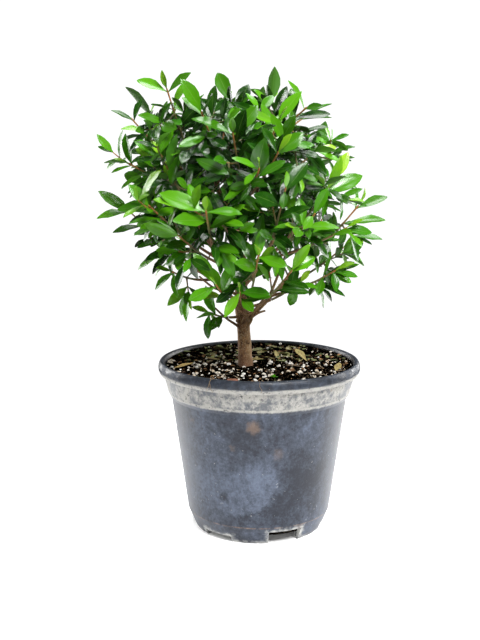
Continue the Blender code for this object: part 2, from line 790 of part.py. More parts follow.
def make_fallen_leaves(ground, collection, material):
    for index, ((x, y), turned, tilted, length, width) in enumerate(FALLEN_LEAVES):
        bm = blade(length * MM, width * MM, -0.1)
        matrix = (
            Matrix.Translation((x * MM, y * MM, POT_HEIGHT + 10 * MM))
            @ Matrix.Rotation(math.radians(turned), 4, "Z")
            @ Matrix.Rotation(math.radians(tilted), 4, "X")
            @ Matrix.Translation((0, -length * MM / 2, 0))
        )
        bmesh.ops.transform(bm, matrix=matrix, verts=bm.verts)
        mesh = bpy.data.meshes.new("fallen_leaf")
        bm.to_mesh(mesh)
        bm.free()
        leaf = add_object(f"fallen_leaf_{index + 1}", mesh, collection, material)
        rest_on(leaf, ground)


def main():
    for obj in list(bpy.data.objects):
        bpy.data.objects.remove(obj, do_unlink=True)
    tree, cutters = make_collections()
    plastic = make_material("pot_plastic", (0.09, 0.11, 0.14), 0.5)
    soil = make_material("potting_mix", (0.02, 0.016, 0.013), 0.95)
    bark = make_material("bark", (0.17, 0.1, 0.07), 0.85)
    green = make_material("leaf", (0.06, 0.22, 0.03), 0.35)
    dry = make_material("dry_leaf", (0.42, 0.36, 0.13), 0.7)

    make_pot(tree, cutters, plastic)
    mix = make_mix(tree, cutters, soil)
    shoots = plan_shoots()
    limbs, leads = plan_wood(shoots)
    trunk = make_trunk(limbs, leads, tree, bark)
    make_shoots(shoots, leads, trunk, tree, green)
    make_fallen_leaves(mix, tree, dry)


main()
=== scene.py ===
# %% [markdown]
# # A young brush cherry in its nursery pot
# The plant is a small tree with a round, loosely clipped crown, in a weathered plastic pot
# filled with gritty mix. The solids already say where every stem, leaf and wall is. This
# lesson grows the same tree again with finer pieces, and gives each surface its finish. Every
# random number is drawn from a fixed seed, so that the plant is the same each time.

import itertools
import json
import math
import random

import bmesh
import bpy
from mathutils import Matrix, Vector, noise
from mathutils.bvhtree import BVHTree
from mathutils.kdtree import KDTree

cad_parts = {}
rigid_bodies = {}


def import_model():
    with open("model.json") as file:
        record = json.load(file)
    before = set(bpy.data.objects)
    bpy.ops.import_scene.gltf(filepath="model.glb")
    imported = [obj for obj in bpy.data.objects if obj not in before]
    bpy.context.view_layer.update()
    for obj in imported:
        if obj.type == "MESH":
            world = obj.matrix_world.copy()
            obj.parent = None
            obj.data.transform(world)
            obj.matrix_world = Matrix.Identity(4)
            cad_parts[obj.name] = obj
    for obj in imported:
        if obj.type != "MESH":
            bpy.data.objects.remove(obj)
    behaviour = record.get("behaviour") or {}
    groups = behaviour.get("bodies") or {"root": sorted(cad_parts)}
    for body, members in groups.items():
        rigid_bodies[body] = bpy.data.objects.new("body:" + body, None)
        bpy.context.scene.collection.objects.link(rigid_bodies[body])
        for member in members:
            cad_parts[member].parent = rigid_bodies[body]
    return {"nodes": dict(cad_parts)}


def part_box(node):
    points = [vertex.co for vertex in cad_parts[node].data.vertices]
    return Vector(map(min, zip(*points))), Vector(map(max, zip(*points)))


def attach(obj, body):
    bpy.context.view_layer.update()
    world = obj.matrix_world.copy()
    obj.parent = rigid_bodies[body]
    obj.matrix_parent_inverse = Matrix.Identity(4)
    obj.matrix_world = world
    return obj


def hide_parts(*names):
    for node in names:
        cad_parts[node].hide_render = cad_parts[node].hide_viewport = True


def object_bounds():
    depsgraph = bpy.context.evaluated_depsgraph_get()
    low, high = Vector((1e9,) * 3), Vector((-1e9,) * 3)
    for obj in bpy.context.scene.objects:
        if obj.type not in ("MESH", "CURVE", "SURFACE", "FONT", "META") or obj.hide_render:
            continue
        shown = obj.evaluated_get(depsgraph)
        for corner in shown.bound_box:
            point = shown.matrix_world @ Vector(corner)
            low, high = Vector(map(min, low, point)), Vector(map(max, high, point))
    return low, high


for item in list(bpy.data.objects):
    bpy.data.objects.remove(item)
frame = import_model()
cad_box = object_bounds()
MM = 0.001
SEED = 11
noise.seed_set(SEED)
print("loaded", len(frame["nodes"]), "solids")

# %% [markdown]
# ## Helpers
# A material is a few nodes wired together, so one helper adds a node and wires its inputs, and
# the short ones after it add the nodes that come up most. An output knows its own node tree, so
# a node that is given one joins the same tree.

# %% Wire a node
def is_output(value):
    return isinstance(value, bpy.types.NodeSocket)


def wire(kind, inputs, tree=None, **settings):
    """Adds a node. An input is a plain value, or another node's output to link."""
    tree = tree or next(value.id_data for value in inputs.values() if is_output(value))
    made = tree.nodes.new("ShaderNode" + kind)
    for name, value in settings.items():
        setattr(made, name, value)
    for name, value in inputs.items():
        if is_output(value):
            tree.links.new(value, made.inputs[name])
        else:
            made.inputs[name].default_value = value
    return made


def noise_at(coords, scale, detail=3.0, roughness=0.55):
    """A cloud pattern from 0 to 1; scale is in patches a metre."""
    inputs = {"Vector": coords, "Scale": scale, "Detail": detail, "Roughness": roughness}
    return wire("TexNoise", inputs).outputs[0]


def ramp(value, low, high, start=0.0, end=1.0):
    """Spreads low..high of a value smoothly over start..end, and holds it there outside."""
    inputs = {0: value, 1: low, 2: high, 3: start, 4: end}
    return wire("MapRange", inputs, interpolation_type="SMOOTHSTEP").outputs[0]


def maths(operation, *inputs):
    return wire("Math", dict(enumerate(inputs)), operation=operation).outputs[0]


def times(first, second):
    return maths("MULTIPLY", first, second)


def apart(first, second):
    """How far two values lie from each other."""
    return maths("ABSOLUTE", maths("SUBTRACT", first, second))


def vector_maths(operation, *inputs):
    """Output 0 is a vector, and output "Value" a number."""
    return wire("VectorMath", dict(enumerate(inputs)), operation=operation).outputs


def stretched(place, scale):
    return vector_maths("MULTIPLY", place, scale)[0]


def split(vector):
    return wire("SeparateXYZ", {0: vector}).outputs


def blend(factor, first, second):
    """Mixes two colours by a mask."""
    first, second = (value if is_output(value) else (*value, 1) for value in (first, second))
    return wire("Mix", {0: factor, 6: first, 7: second}, data_type="RGBA").outputs[2]


def tones(shader):
    """The numbers that a piece's corners keep in their colour attribute."""
    marks = wire("Attribute", {}, shader.id_data, attribute_name="tone").outputs[0]
    return wire("SeparateColor", {0: marks}).outputs


def new_material(name, **constants):
    """A material with its shader's constants set. Returns it, its shader and the place in space."""
    material = bpy.data.materials.new(name)
    material.use_nodes = True
    shader = material.node_tree.nodes["Principled BSDF"]
    for socket, value in constants.items():
        shader.inputs[socket.replace("_", " ")].default_value = value
    return material, shader, wire("TexCoord", {}, material.node_tree).outputs["Object"]


def feed(shader, **sockets):
    for name, value in sockets.items():
        shader.id_data.links.new(value, shader.inputs[name.replace("_", " ")])


def bump(height, strength, distance):
    inputs = {"Height": height, "Strength": strength, "Distance": distance}
    return wire("Bump", inputs).outputs[0]


# %% [markdown]
# Shapes are grown as bmeshes. A finished one becomes a piece: an object at the origin that
# rides on the pot's body, with its finish, and the solids that it stands for are hidden.

# %% Finish a piece
def put(name, data):
    """Puts an object that shows the data into the scene."""
    made = bpy.data.objects.new(name, data)
    bpy.context.scene.collection.objects.link(made)
    return made


def to_mesh(name, bm):
    mesh = bpy.data.meshes.new(name)
    bm.to_mesh(mesh)
    bm.free()
    return mesh


def to_object(name, bm, *materials):
    """Turns the bmesh into an object of the scene."""
    mesh = to_mesh(name, bm)
    for material in materials:
        mesh.materials.append(material)
    return put(name, mesh)


def make_piece(name, bm, materials, replaced=(), sharp=math.radians(60)):
    """Turns the bmesh into a piece that rides on the pot's body."""
    piece = to_object(name, bm, *materials)
    piece.data.shade_smooth()
    piece.data.set_sharp_from_angle(angle=sharp)
    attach(piece, "root")
    if replaced:
        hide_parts(*replaced)
    return piece


def say(piece):
    print(piece.name, len(piece.data.polygons), "faces")


def new_toned():
    """A bmesh whose corners keep a colour: the grain's own, or the age of a stem or leaf."""
    bm = bmesh.new()
    bm.verts.layers.float_color.new("tone")
    return bm


def append(target, part):
    """Adds a small bmesh's geometry to a large one."""
    mesh = to_mesh("part", part)
    target.from_mesh(mesh)
    bpy.data.meshes.remove(mesh)


# %% [markdown]
# ## Camera and light
# The photographer stood a little above the pot's rim and looked slightly down. A long lens
# keeps the pot's sides nearly straight. The floor and the world are white, and large soft
# lights leave only a pale shadow, as in a studio.

# %% Camera
CAMERA_PLACE = (-0.01565, -0.8068, 0.3138)
CAMERA_DOWN = math.radians(10.03)
CAMERA_LENS = 56.5

camera_data = bpy.data.cameras.new("camera")
camera_data.lens = CAMERA_LENS
camera = put("camera", camera_data)
camera.location = CAMERA_PLACE
camera.rotation_euler = (math.pi / 2 - CAMERA_DOWN, 0, 0)
bpy.context.scene.camera = camera
bpy.context.scene.view_settings.view_transform = "Standard"
print("camera", round(camera_data.lens, 1), "mm lens")

# %% Lights
WHITE = (1, 1, 1, 1)
SKY_HEIGHTS = (-0.25, 0.9)
SKY_LIGHT = (0.03, 0.15)
BACKDROP_STRENGTH = 1.1
LIGHTS = {
    "key": ((0.48, -0.88, 1.12), 0.42, 26.0),
    "front": ((-0.3, -1.3, 0.2), 0.7, 2.0),
    "left_card": ((-0.85, 0.6, 0.35), 0.7, 13.0),
    "right_card": ((0.85, 0.6, 0.35), 0.7, 13.0),
    "top": ((0.1, 0.3, 1.5), 0.7, 15.0),
}
LIGHT_AIM = Vector((-0.01, 0, 0.2))


def make_world():
    """A sky that is brighter overhead, and plain white where the camera looks past the plant."""
    world = bpy.data.worlds.new("studio")
    world.use_nodes = True
    tree = world.node_tree
    tree.nodes.remove(tree.nodes["Background"])
    height = split(wire("TexCoord", {}, tree).outputs["Generated"])[2]
    level = wire("MapRange", dict(enumerate((height, *SKY_HEIGHTS, *SKY_LIGHT)))).outputs[0]
    seen = wire("LightPath", {}, tree).outputs["Is Camera Ray"]
    sky, backdrop = (wire("Background", {0: WHITE, 1: part}, tree) for part in (level, BACKDROP_STRENGTH))
    mixed = wire("MixShader", {0: seen, 1: sky.outputs[0], 2: backdrop.outputs[0]})
    tree.links.new(mixed.outputs[0], tree.nodes["World Output"].inputs["Surface"])
    return world


bpy.context.scene.world = make_world()
for name, (place, size, energy) in LIGHTS.items():
    data = bpy.data.lights.new(name, "AREA")
    data.size = size
    data.energy = energy
    light = put(name, data)
    light.location = place
    light.rotation_euler = (LIGHT_AIM - Vector(place)).to_track_quat("-Z", "Y").to_euler()
print("lights", len(LIGHTS))

# %% [markdown]
# ## Shared effects
# Dust, scale and dirt lie in specks and clouds on the pot, on the grains and on the bark. The
# two effects are node groups, so that each material places them with its own sizes.

# %% Node groups
def new_group(name, **inputs):
    """A node group that makes a mask from coordinates and a few numbers."""
    tree = bpy.data.node_groups.new(name, "ShaderNodeTree")
    tree.interface.new_socket("Vector", in_out="INPUT", socket_type="NodeSocketVector")
    for socket, value in inputs.items():
        made = tree.interface.new_socket(socket, in_out="INPUT", socket_type="NodeSocketFloat")
        made.default_value = value
    tree.interface.new_socket("Mask", in_out="OUTPUT", socket_type="NodeSocketFloat")
    return tree, tree.nodes.new("NodeGroupInput").outputs, tree.nodes.new("NodeGroupOutput").inputs[0]


def speckle_group():
    """Small round specks, of uneven size, where a cloud lets them be."""
    tree, given, mask = new_group("speckle", Scale=300.0, Amount=0.5)
    cells = wire("TexVoronoi", {"Vector": given["Vector"], "Scale": given["Scale"]})
    reach = times(noise_at(given["Vector"], 60.0), given["Amount"])
    tree.links.new(maths("LESS_THAN", cells.outputs["Distance"], reach), mask)
    return tree


def cloud_group():
    """A soft cloud with a chosen share of cover."""
    tree, given, mask = new_group("cloud", Scale=30.0, Cover=0.5, Softness=0.15)
    value = noise_at(given["Vector"], given["Scale"], 5.0, 0.6)
    turned = maths("SUBTRACT", 1.0, given["Cover"])
    low = maths("SUBTRACT", turned, given["Softness"])
    high = maths("ADD", turned, given["Softness"])
    tree.links.new(ramp(value, low, high), mask)
    return tree


SPECKLE = speckle_group()
CLOUD = cloud_group()


def place_group(group, **inputs):
    return wire("Group", inputs, node_tree=group).outputs[0]


print("node groups", SPECKLE.name, CLOUD.name)

# %% [markdown]
# ## The pot
# A nursery pot is blown or moulded in one piece: a rolled lip, a flared band that ends in a
# small ledge, a tapered wall, a chamfer and a foot with drain slots. A turned shape is a
# profile that is spun, so the profile comes first, as arcs and a few corners.

# %% Pot profile
POT_HEIGHT = 138.8 * MM
LIP_RADIUS = 82.5 * MM
LIP_WIDTH = 5.5 * MM
LIP_DEPTH = 10.4 * MM
LIP_ARC = (170, 250)
LIP_STEPS = 17
BAND_TOP_RADIUS = 78.2 * MM
LEDGE_HEIGHT = 109.6 * MM
LEDGE_RADIUS = 72.0 * MM
LEDGE_WIDTH = 2.4 * MM
LEDGE_RISE = 4.0 * MM
CHAMFER_HEIGHT = 15.0 * MM
CHAMFER_RADIUS = 58.9 * MM
FOOT_RADIUS = 52.9 * MM
FOOT_WIDTH = 4.4 * MM
FOOT_BEVEL = 0.8 * MM
WALL = 1.8 * MM
FLOOR = 2.0 * MM
FLOOR_RISE = 4.0 * MM
PAD_RADIUS = 22.0 * MM
POT_STEPS = 160
WELD = 0.002 * MM


def on_lip(degrees, lift=0.0):
    """The radius and height of a point on the rolled lip, an upright oval, or just off it."""
    angle = math.radians(degrees)
    radius = LIP_RADIUS - LIP_WIDTH / 2 + (LIP_WIDTH / 2 + lift) * math.cos(angle)
    return radius, POT_HEIGHT - LIP_DEPTH / 2 * (1 - math.sin(angle)) + lift * math.sin(angle)


def eased(corners, radius, count=4):
    """The polyline with each inner corner rounded by a short curve."""
    points = [corners[0]]
    for before, corner, after in zip(corners, corners[1:], corners[2:]):
        here = Vector(corner)
        back = (Vector(before) - here).normalized() * radius
        on = (Vector(after) - here).normalized() * radius
        for index in range(count + 1):
            share = index / count
            start = (here + back).lerp(here, share)
            points.append(tuple(start.lerp(here.lerp(here + on, share), share)))
    return points + [corners[-1]]


def inside(gap=0.0):
    """Corners of the pot's inside, from the floor's middle to the ledge, or a gap away from it."""
    return [
        (0, FLOOR + gap),
        (PAD_RADIUS - FLOOR, FLOOR + gap),
        (PAD_RADIUS + FLOOR, FLOOR_RISE + FLOOR + gap),
        (FOOT_RADIUS - WALL - gap, FLOOR_RISE + FLOOR + gap),
        (CHAMFER_RADIUS - WALL - gap, CHAMFER_HEIGHT),
        (LEDGE_RADIUS - WALL - gap, LEDGE_HEIGHT),
        (LEDGE_RADIUS + LEDGE_WIDTH - WALL - gap, LEDGE_HEIGHT + LEDGE_RISE),
    ]


def pot_profile():
    band_top = POT_HEIGHT - LIP_DEPTH
    inner = inside() + [(BAND_TOP_RADIUS - WALL, band_top)]
    outer = [
        (BAND_TOP_RADIUS, band_top - 0.4 * MM),
        (LEDGE_RADIUS + LEDGE_WIDTH, LEDGE_HEIGHT + LEDGE_RISE),
        (LEDGE_RADIUS, LEDGE_HEIGHT),
        (CHAMFER_RADIUS, CHAMFER_HEIGHT),
        (FOOT_RADIUS, FOOT_BEVEL),
        (FOOT_RADIUS - FOOT_BEVEL, 0),
        (FOOT_RADIUS - FOOT_WIDTH, 0),
        (FOOT_RADIUS - FOOT_WIDTH - MM, FLOOR_RISE),
        (PAD_RADIUS + FLOOR, FLOOR_RISE),
        (PAD_RADIUS, 0),
        (0, 0),
    ]
    lip = [on_lip(LIP_ARC[0] - LIP_ARC[1] * index / LIP_STEPS) for index in range(LIP_STEPS + 1)]
    return eased(inner, 0.7 * MM) + lip + eased(outer, 0.4 * MM)


def spin_profile(profile, steps):
    """A closed turned solid from a profile in the XZ plane that starts and ends on the axis."""
    bm = bmesh.new()
    points = [bm.verts.new((radius, 0, height)) for radius, height in profile]
    lines = [bm.edges.new(pair) for pair in zip(points, points[1:])]
    bmesh.ops.spin(
        bm, geom=points + lines, cent=(0, 0, 0), axis=(0, 0, 1), angle=math.tau, steps=steps, use_merge=True
    )
    bmesh.ops.remove_doubles(bm, verts=bm.verts, dist=WELD)
    bm.normal_update()
    bmesh.ops.recalc_face_normals(bm, faces=bm.faces)
    return bm


pot_bm = spin_profile(pot_profile(), POT_STEPS)
print("pot profile spun:", len(pot_bm.faces), "faces")

# %% [markdown]
# The drain slots are sawn-looking gaps in the foot. Each is a wedge between two radial faces,
# and a Boolean modifier cuts it, because it goes through foot, floor and wall at once.

# %% Drain slots
SLOT_COUNT = 6
SLOT_PITCH = math.tau / SLOT_COUNT
SLOT_FIRST = math.radians(21.3)
SLOT_ANGLE = math.radians(28.0)
SLOT_HEIGHTS = (11.0 * MM, 5.0 * MM)
SLOT_RADII = (46.5 * MM, 66.0 * MM)


def slot_cutters():
    """A cube for each slot, with its corners moved to the ends of the wedge."""
    bm = bmesh.new()
    for index in range(SLOT_COUNT):
        turned = SLOT_FIRST + index * SLOT_PITCH - math.pi / 2
        for vert in bmesh.ops.create_cube(bm, size=1)["verts"]:
            radius = SLOT_RADII[0] if vert.co.x < 0 else SLOT_RADII[1]
            angle = turned + math.copysign(SLOT_ANGLE / 2, vert.co.y)
            level = SLOT_HEIGHTS[index % len(SLOT_HEIGHTS)] if vert.co.z > 0 else -MM
            vert.co = (radius * math.cos(angle), radius * math.sin(angle), level)
    return bm


body = to_object("body", pot_bm)
slots = to_object("slots", slot_cutters())
modifier = body.modifiers.new("slots", "BOOLEAN")
modifier.operation = "DIFFERENCE"
modifier.object = slots
pot_bm = bmesh.new()
pot_bm.from_object(body, bpy.context.evaluated_depsgraph_get())
for holder in (body, slots):
    bpy.data.objects.remove(holder)
print("pot with slots:", len(pot_bm.faces), "faces")

# %% [markdown]
# Years outside have dulled the plastic. Hard water left a pale scale on the band and on the
# lip's lower part, and handling scuffed the wall in clouds, in fine mottling and in a wide round
# patch. The wall's left and right sides are painted a paler grey, a painted sheen where the wall
# turns away from view. The lip's top stayed dark and shiny. The foot's edges are chalky where
# they rubbed on stone. Marks that the photograph shows lie at their own places, and the rest is
# placed by height and by noise.

# %% Pot plastic
BAND_LOW = LEDGE_HEIGHT + LEDGE_RISE
BAND_HIGH = POT_HEIGHT - LIP_DEPTH
LIP_CLEAN = BAND_HIGH + 4.2 * MM
SLATE = (0.008, 0.011, 0.02)
SCUFF = (0.13, 0.16, 0.225)
GREYED = (0.1, 0.11, 0.125)
PAINTED_SIDE_SHEEN = (0.12, 0.12, 0.122)
LIME = (0.37, 0.36, 0.33)
LIP_DARK = (0.022, 0.026, 0.034)
LIP_INSIDE = (0.005, 0.005, 0.006)
RUST = (0.16, 0.075, 0.035)
TAN = (0.26, 0.16, 0.09)
CHALK = (0.4, 0.4, 0.38)
SIDE_SHEEN_REACH = (42 * MM, 70 * MM)
HANDLED_PLACE = (-19.5 * MM, -62 * MM, 57.5 * MM)
HANDLED_REACH = 34.5 * MM
HANDLED_EDGE = 3.5 * MM
HANDLED_STRENGTH = 0.24
RUBBED_PLACE = (6 * MM, -60 * MM, 40 * MM)
RUBBED_REACH = (18 * MM, 60 * MM)
SCUFFED_FROM_TO = (1.09, 2.33)
TORN_BY = 11 * MM
SCALE_LINES = ((BAND_LOW + 0.4 * MM, 1.5 * MM), (BAND_HIGH + 1.2 * MM, 2.6 * MM))
CHALK_REACH = (0.3 * MM, 4.0 * MM)
SHADES = (
    ((-11.0, -68.5, 91.0), 2, 30, -0.14),
    ((37.0, -52.0, 45.0), 8, 44, -0.2),
    ((13.0, -60.0, 27.0), 4, 22, -0.12),
    ((-51.0, -39.0, 54.0), 6, 32, 0.14),
    ((-47.0, -54.0, 107.0), 3, 17, 0.12),
    ((40.0, -58.0, 97.0), 3, 18, 0.1),
    ((-28.2, -55.6, 40.0), 0, 6, -0.4),
)
SMUDGES = (
    ((-5.3, -70.5, 100.4), 7.5, 0.75),
    ((13.5, -66.3, 78.0), 6.0, 0.3),
    ((-21.8, -64.7, 82.8), 4.0, 0.3),
    ((-52.7, -46.9, 99.2), 4.0, 0.25),
    ((32.1, -48.9, 11.7), 5.0, 0.6),
)


def within(place, middle, inner, outer, strength=1.0):
    """The strength near a place on the pot, falling to 0 between two distances from it."""
    away = vector_maths("DISTANCE", place, middle)["Value"]
    return ramp(away, inner, outer, strength, 0.0)


def torn(plain):
    """The coordinates shifted a few millimetres by noise, so that a mark's edge is torn."""
    inputs = {"Vector": plain, "Scale": 170.0, "Detail": 8.0, "Roughness": 0.65}
    shift = wire("TexNoise", inputs).outputs["Color"]
    shift = vector_maths("SUBTRACT", shift, (0.5, 0.5, 0.5))[0]
    return vector_maths("MULTIPLY_ADD", shift, (TORN_BY, TORN_BY, TORN_BY), plain)[0]


def slot_distance(place):
    """How far a point of the wall lies outside the nearest drain slot's edges."""
    x, y, z = split(place)
    around = maths("ADD", maths("ARCTAN2", y, x), math.pi / 2 - SLOT_FIRST)
    turns = maths("DIVIDE", around, SLOT_PITCH)
    number = maths("ROUND", turns)
    half = SLOT_ANGLE / 2 * FOOT_RADIUS
    aside = maths("MULTIPLY_ADD", apart(turns, number), SLOT_PITCH * FOOT_RADIUS, -half)
    odd = maths("PINGPONG", number, 1.0)
    high, low = SLOT_HEIGHTS
    top = maths("MULTIPLY_ADD", odd, low - high, high)
    return maths("MAXIMUM", aside, maths("SUBTRACT", z, top))


def scuffs(plain, ragged, mottling, streaks):
    """How scuffed the wall is: in clouds and grit, where hands held it, and in streaks of rain."""
    edge = HANDLED_REACH - HANDLED_EDGE
    handled = within(ragged, HANDLED_PLACE, edge, HANDLED_REACH, HANDLED_STRENGTH)
    worn = times(handled, within(plain, RUBBED_PLACE, *RUBBED_REACH))
    clouds = noise_at(plain, 30.0, 4.0, 0.6)
    grit = noise_at(plain, 450.0, 4.0, 0.7)
    for pattern, weight in ((mottling, 1.1), (clouds, 0.8), (grit, 0.75)):
        worn = maths("MULTIPLY_ADD", pattern, weight, worn)
    for middle, inner, outer, strength in SHADES:
        shade = within(ragged, Vector(middle) * MM, inner * MM, outer * MM, strength)
        worn = maths("ADD", worn, shade)
    return ramp(maths("MULTIPLY_ADD", streaks, 0.25, worn), *SCUFFED_FROM_TO)


def wall_colour(plain, ragged, scuffed, mottling):
    """Slate blue under the scuffs, with a painted grey sheen at the sides and a few tan smudges."""
    colour = blend(scuffed, SLATE, SCUFF)
    aside = maths("ABSOLUTE", split(plain)[0])
    # Painted sheen: towards the wall's left and right sides the colour goes to a pale grey, in mottled
    # patches.
    colour = blend(times(ramp(aside, *SIDE_SHEEN_REACH), mottling), colour, PAINTED_SIDE_SHEEN)
    for middle, size, strength in SMUDGES:
        spot = within(ragged, Vector(middle) * MM, size * 0.2 * MM, size * MM, strength)
        colour = blend(times(spot, mottling), colour, TAN)
    return colour


def scale_mask(plain, height, band, mottling):
    """The scale lies in patches on the band and thickly along its two edges."""
    patches = ramp(noise_at(plain, 75.0, 9.0, 0.75), 0.42, 0.6, 0.12, 0.95)
    for line, half in SCALE_LINES:
        thick = ramp(apart(height, line), half * 0.4, half, 0.9, 0.0)
        patches = maths("MAXIMUM", patches, thick)
    return times(band, times(patches, ramp(mottling, 0.3, 0.52, 0.35, 1.0)))


def lip_colour(plain, mottling):
    """Dark and worn outside, and nearly black on its inner side."""
    worn = blend(ramp(mottling, 0.42, 0.75, 0.0, 0.4), LIP_DARK, SCUFF)
    away = vector_maths("LENGTH", stretched(plain, (1, 1, 0)))["Value"]
    inner_side = ramp(away, LIP_RADIUS - LIP_WIDTH, LIP_RADIUS - LIP_WIDTH * 0.6, 1.0, 0.0)
    return blend(inner_side, worn, LIP_INSIDE)


def pot_plastic():
    material, shader, plain = new_material("pot_plastic", Specular_IOR_Level=0.32)
    ragged = torn(plain)
    height = split(plain)[2]
    mottling = noise_at(plain, 150.0, 8.0, 0.75)
    streaks = noise_at(stretched(plain, (1, 1, 0.05)), 260.0, 4.0)
    scuffed = scuffs(plain, ragged, mottling, streaks)
    colour = wall_colour(plain, ragged, scuffed, mottling)

    wavy = maths("MULTIPLY_ADD", mottling, 2.4 * MM, height)
    band = ramp(wavy, BAND_LOW - 0.6 * MM, BAND_LOW + 0.8 * MM)
    scaled = scale_mask(plain, height, band, mottling)
    colour = blend(times(band, 0.6), colour, GREYED)
    colour = blend(scaled, colour, LIME)
    lip = ramp(wavy, LIP_CLEAN, LIP_CLEAN + 1.2 * MM)
    colour = blend(lip, colour, lip_colour(plain, mottling))

    dirt = ramp(noise_at(plain, 310.0, 6.0, 0.7), 0.54, 0.64, 0.0, 0.85)
    stains = ramp(noise_at(plain, 230.0, 6.0, 0.7), 0.66, 0.73, 0.0, 0.8)
    specks = place_group(SPECKLE, Vector=ragged, Scale=190.0, Amount=0.13)
    # A thin tan line along the chamfer's ridge is a painted highlight, broken up by the mottling and the
    # streaks.
    line = ramp(apart(height, CHAMFER_HEIGHT), 0.2 * MM, 0.8 * MM, 1.0, 0.0)
    line = times(line, ramp(mottling, 0.42, 0.6))
    edge = ramp(maths("MINIMUM", slot_distance(ragged), height), *CHALK_REACH, 1.0, 0.0)
    chalky = ramp(mottling, 0.36, 0.56, 0.0, 0.95)
    marks = ((dirt, scaled, SLATE), (stains, band, RUST), (specks, 0.7, CHALK), (line, streaks, TAN))
    for mark, where, shade in (*marks, (edge, chalky, CHALK)):
        colour = blend(times(mark, where), colour, shade)

    roughness = maths("MULTIPLY_ADD", scuffed, 0.25, 0.38)
    roughness = maths("MAXIMUM", roughness, times(scaled, 0.8))
    roughness = maths("MULTIPLY_ADD", lip, -0.1, roughness)
    fine = maths("MULTIPLY_ADD", mottling, 0.8, noise_at(plain, 900.0, 2.0))
    relief = maths("MULTIPLY_ADD", scaled, 0.8, fine)
    feed(shader, Base_Color=colour, Roughness=roughness, Normal=bump(relief, 0.3, 0.35 * MM))
    return material


pot = make_piece("nursery_pot", pot_bm, [pot_plastic()], ["pot"], math.radians(35))
say(pot)

# %% [markdown]
# ## The potting mix
# The mix fills the pot to just under the lip. Its surface sinks and swells a little, is heaped
# at the wall, and is covered with grains: white perlite, bark chips, crumbs and fine roots. The
# body is a turned solid whose top is moved by noise, and the grains are small separate shapes
# pressed into it.

# %% Mix surface
GAP = 0.3 * MM
MIX_TOP = 133.0 * MM
MIX_CROWN = 1.2 * MM
HOLLOW_DEPTH = 1.6 * MM
HOLLOW_SPREAD = 28 * MM
MIX_GRAIN = ((0.02, 4 * MM, 0.7), (0.04, 1.6 * MM, 0.45))
MIX_RINGS = 64
MIX_STEPS = 150
MIX_EDGE = BAND_TOP_RADIUS - WALL - 0.1 * MM
HEAP_START = 62 * MM
HEAP_HEIGHT = 1.8 * MM
HEAP_BEHIND = 2.2 * MM
WET_MIX = ((0.0002, 0.00015, 0.0001), (0.0018, 0.0011, 0.0007))
DRY_SPECK = (0.22, 0.16, 0.1)


def mix_height(x, y):
    """The surface: a low crown at the trunk, hollows, two sizes of grain and a heap at the wall."""
    spread = math.hypot(x, y) / BAND_TOP_RADIUS
    heap = HEAP_HEIGHT + HEAP_BEHIND * max(0, y) / MIX_EDGE
    hollows = noise.noise(Vector((x, y, 0)) / HOLLOW_SPREAD) * HOLLOW_DEPTH
    height = MIX_TOP + MIX_CROWN * (1 - spread**2) + hollows * (1 - spread**4)
    for layer, size, depth in MIX_GRAIN:
        height += noise.noise(Vector((x, y, layer)) / size) * depth * MM
    return height + max(0, (math.hypot(x, y) - HEAP_START) / (MIX_EDGE - HEAP_START)) * heap


def make_mix_body():
    profile = [(MIX_EDGE * ring / MIX_RINGS, MIX_TOP) for ring in range(MIX_RINGS + 1)]
    bm = spin_profile(profile + inside(GAP)[::-1], MIX_STEPS)
    for vert in bm.verts:
        if vert.co.z > MIX_TOP - 0.01 * MM:
            vert.co.z = mix_height(vert.co.x, vert.co.y)
    return bm


def earth():
    material, shader, plain = new_material("damp_mix", Specular_IOR_Level=0.0, Roughness=0.9)
    clouds = place_group(CLOUD, Vector=plain, Scale=110.0, Cover=0.42, Softness=0.12)
    pale = place_group(SPECKLE, Vector=plain, Scale=620.0, Amount=0.33)
    colour = blend(times(pale, 0.8), blend(clouds, *WET_MIX), DRY_SPECK)
    fibres = noise_at(plain, 520.0, 4.0)
    feed(shader, Base_Color=colour, Normal=bump(fibres, 1.0, 0.8 * MM))
    return material


say(make_piece("potting_mix_body", make_mix_body(), [earth()], ["potting_mix"]))

# %% [markdown]
# Each grain starts as a ball of few faces. Its corners are moved a little, and it is squashed,
# turned and half sunk at a random place. Perlite is blunt and white, bark chips are flat and
# brown, crumbs are dark, and bits of old leaves lie behind the trunk. The colour of each grain
# is kept in a colour attribute.

# %% Grains
GRAINS = {
    "perlite": (450, (0.45, 1.7), (1.0, 0.85, 0.7), 2, 0.32),
    "bark_chips": (260, (0.9, 2.6), (1.0, 0.5, 0.3), 1, 0.32),
    "crumbs": (520, (0.6, 1.7), (1.0, 0.75, 0.6), 1, 0.34),
    "leaf_litter": (260, (2.2, 5.2), (1.0, 0.42, 0.1), 1, 0.3),
}
GRAIN_COLOURS = {
    "perlite": ((0.66, 0.54, 0.4), (0.9, 0.88, 0.83)),
    "bark_chips": ((0.003, 0.0015, 0.001), (0.36, 0.2, 0.1)),
    "crumbs": ((0.0003, 0.0002, 0.0001), (0.004, 0.0024, 0.0014)),
    "leaf_litter": ((0.05, 0.065, 0.03), (0.3, 0.33, 0.15)),
}
TRUNK_FOOT = -10.7 * MM
TRUNK_CLEAR = 6.5 * MM
GRAIN_EDGE = 75.4 * MM
LITTER_FRONT = 12 * MM
PERLITE_BEHIND = 0.45
PERLITE_LEAN, GRAIN_LEAN = 0.5, 0.35
GRAIN_RAISED = 0.35
SMALL_GRAINS = 2.2


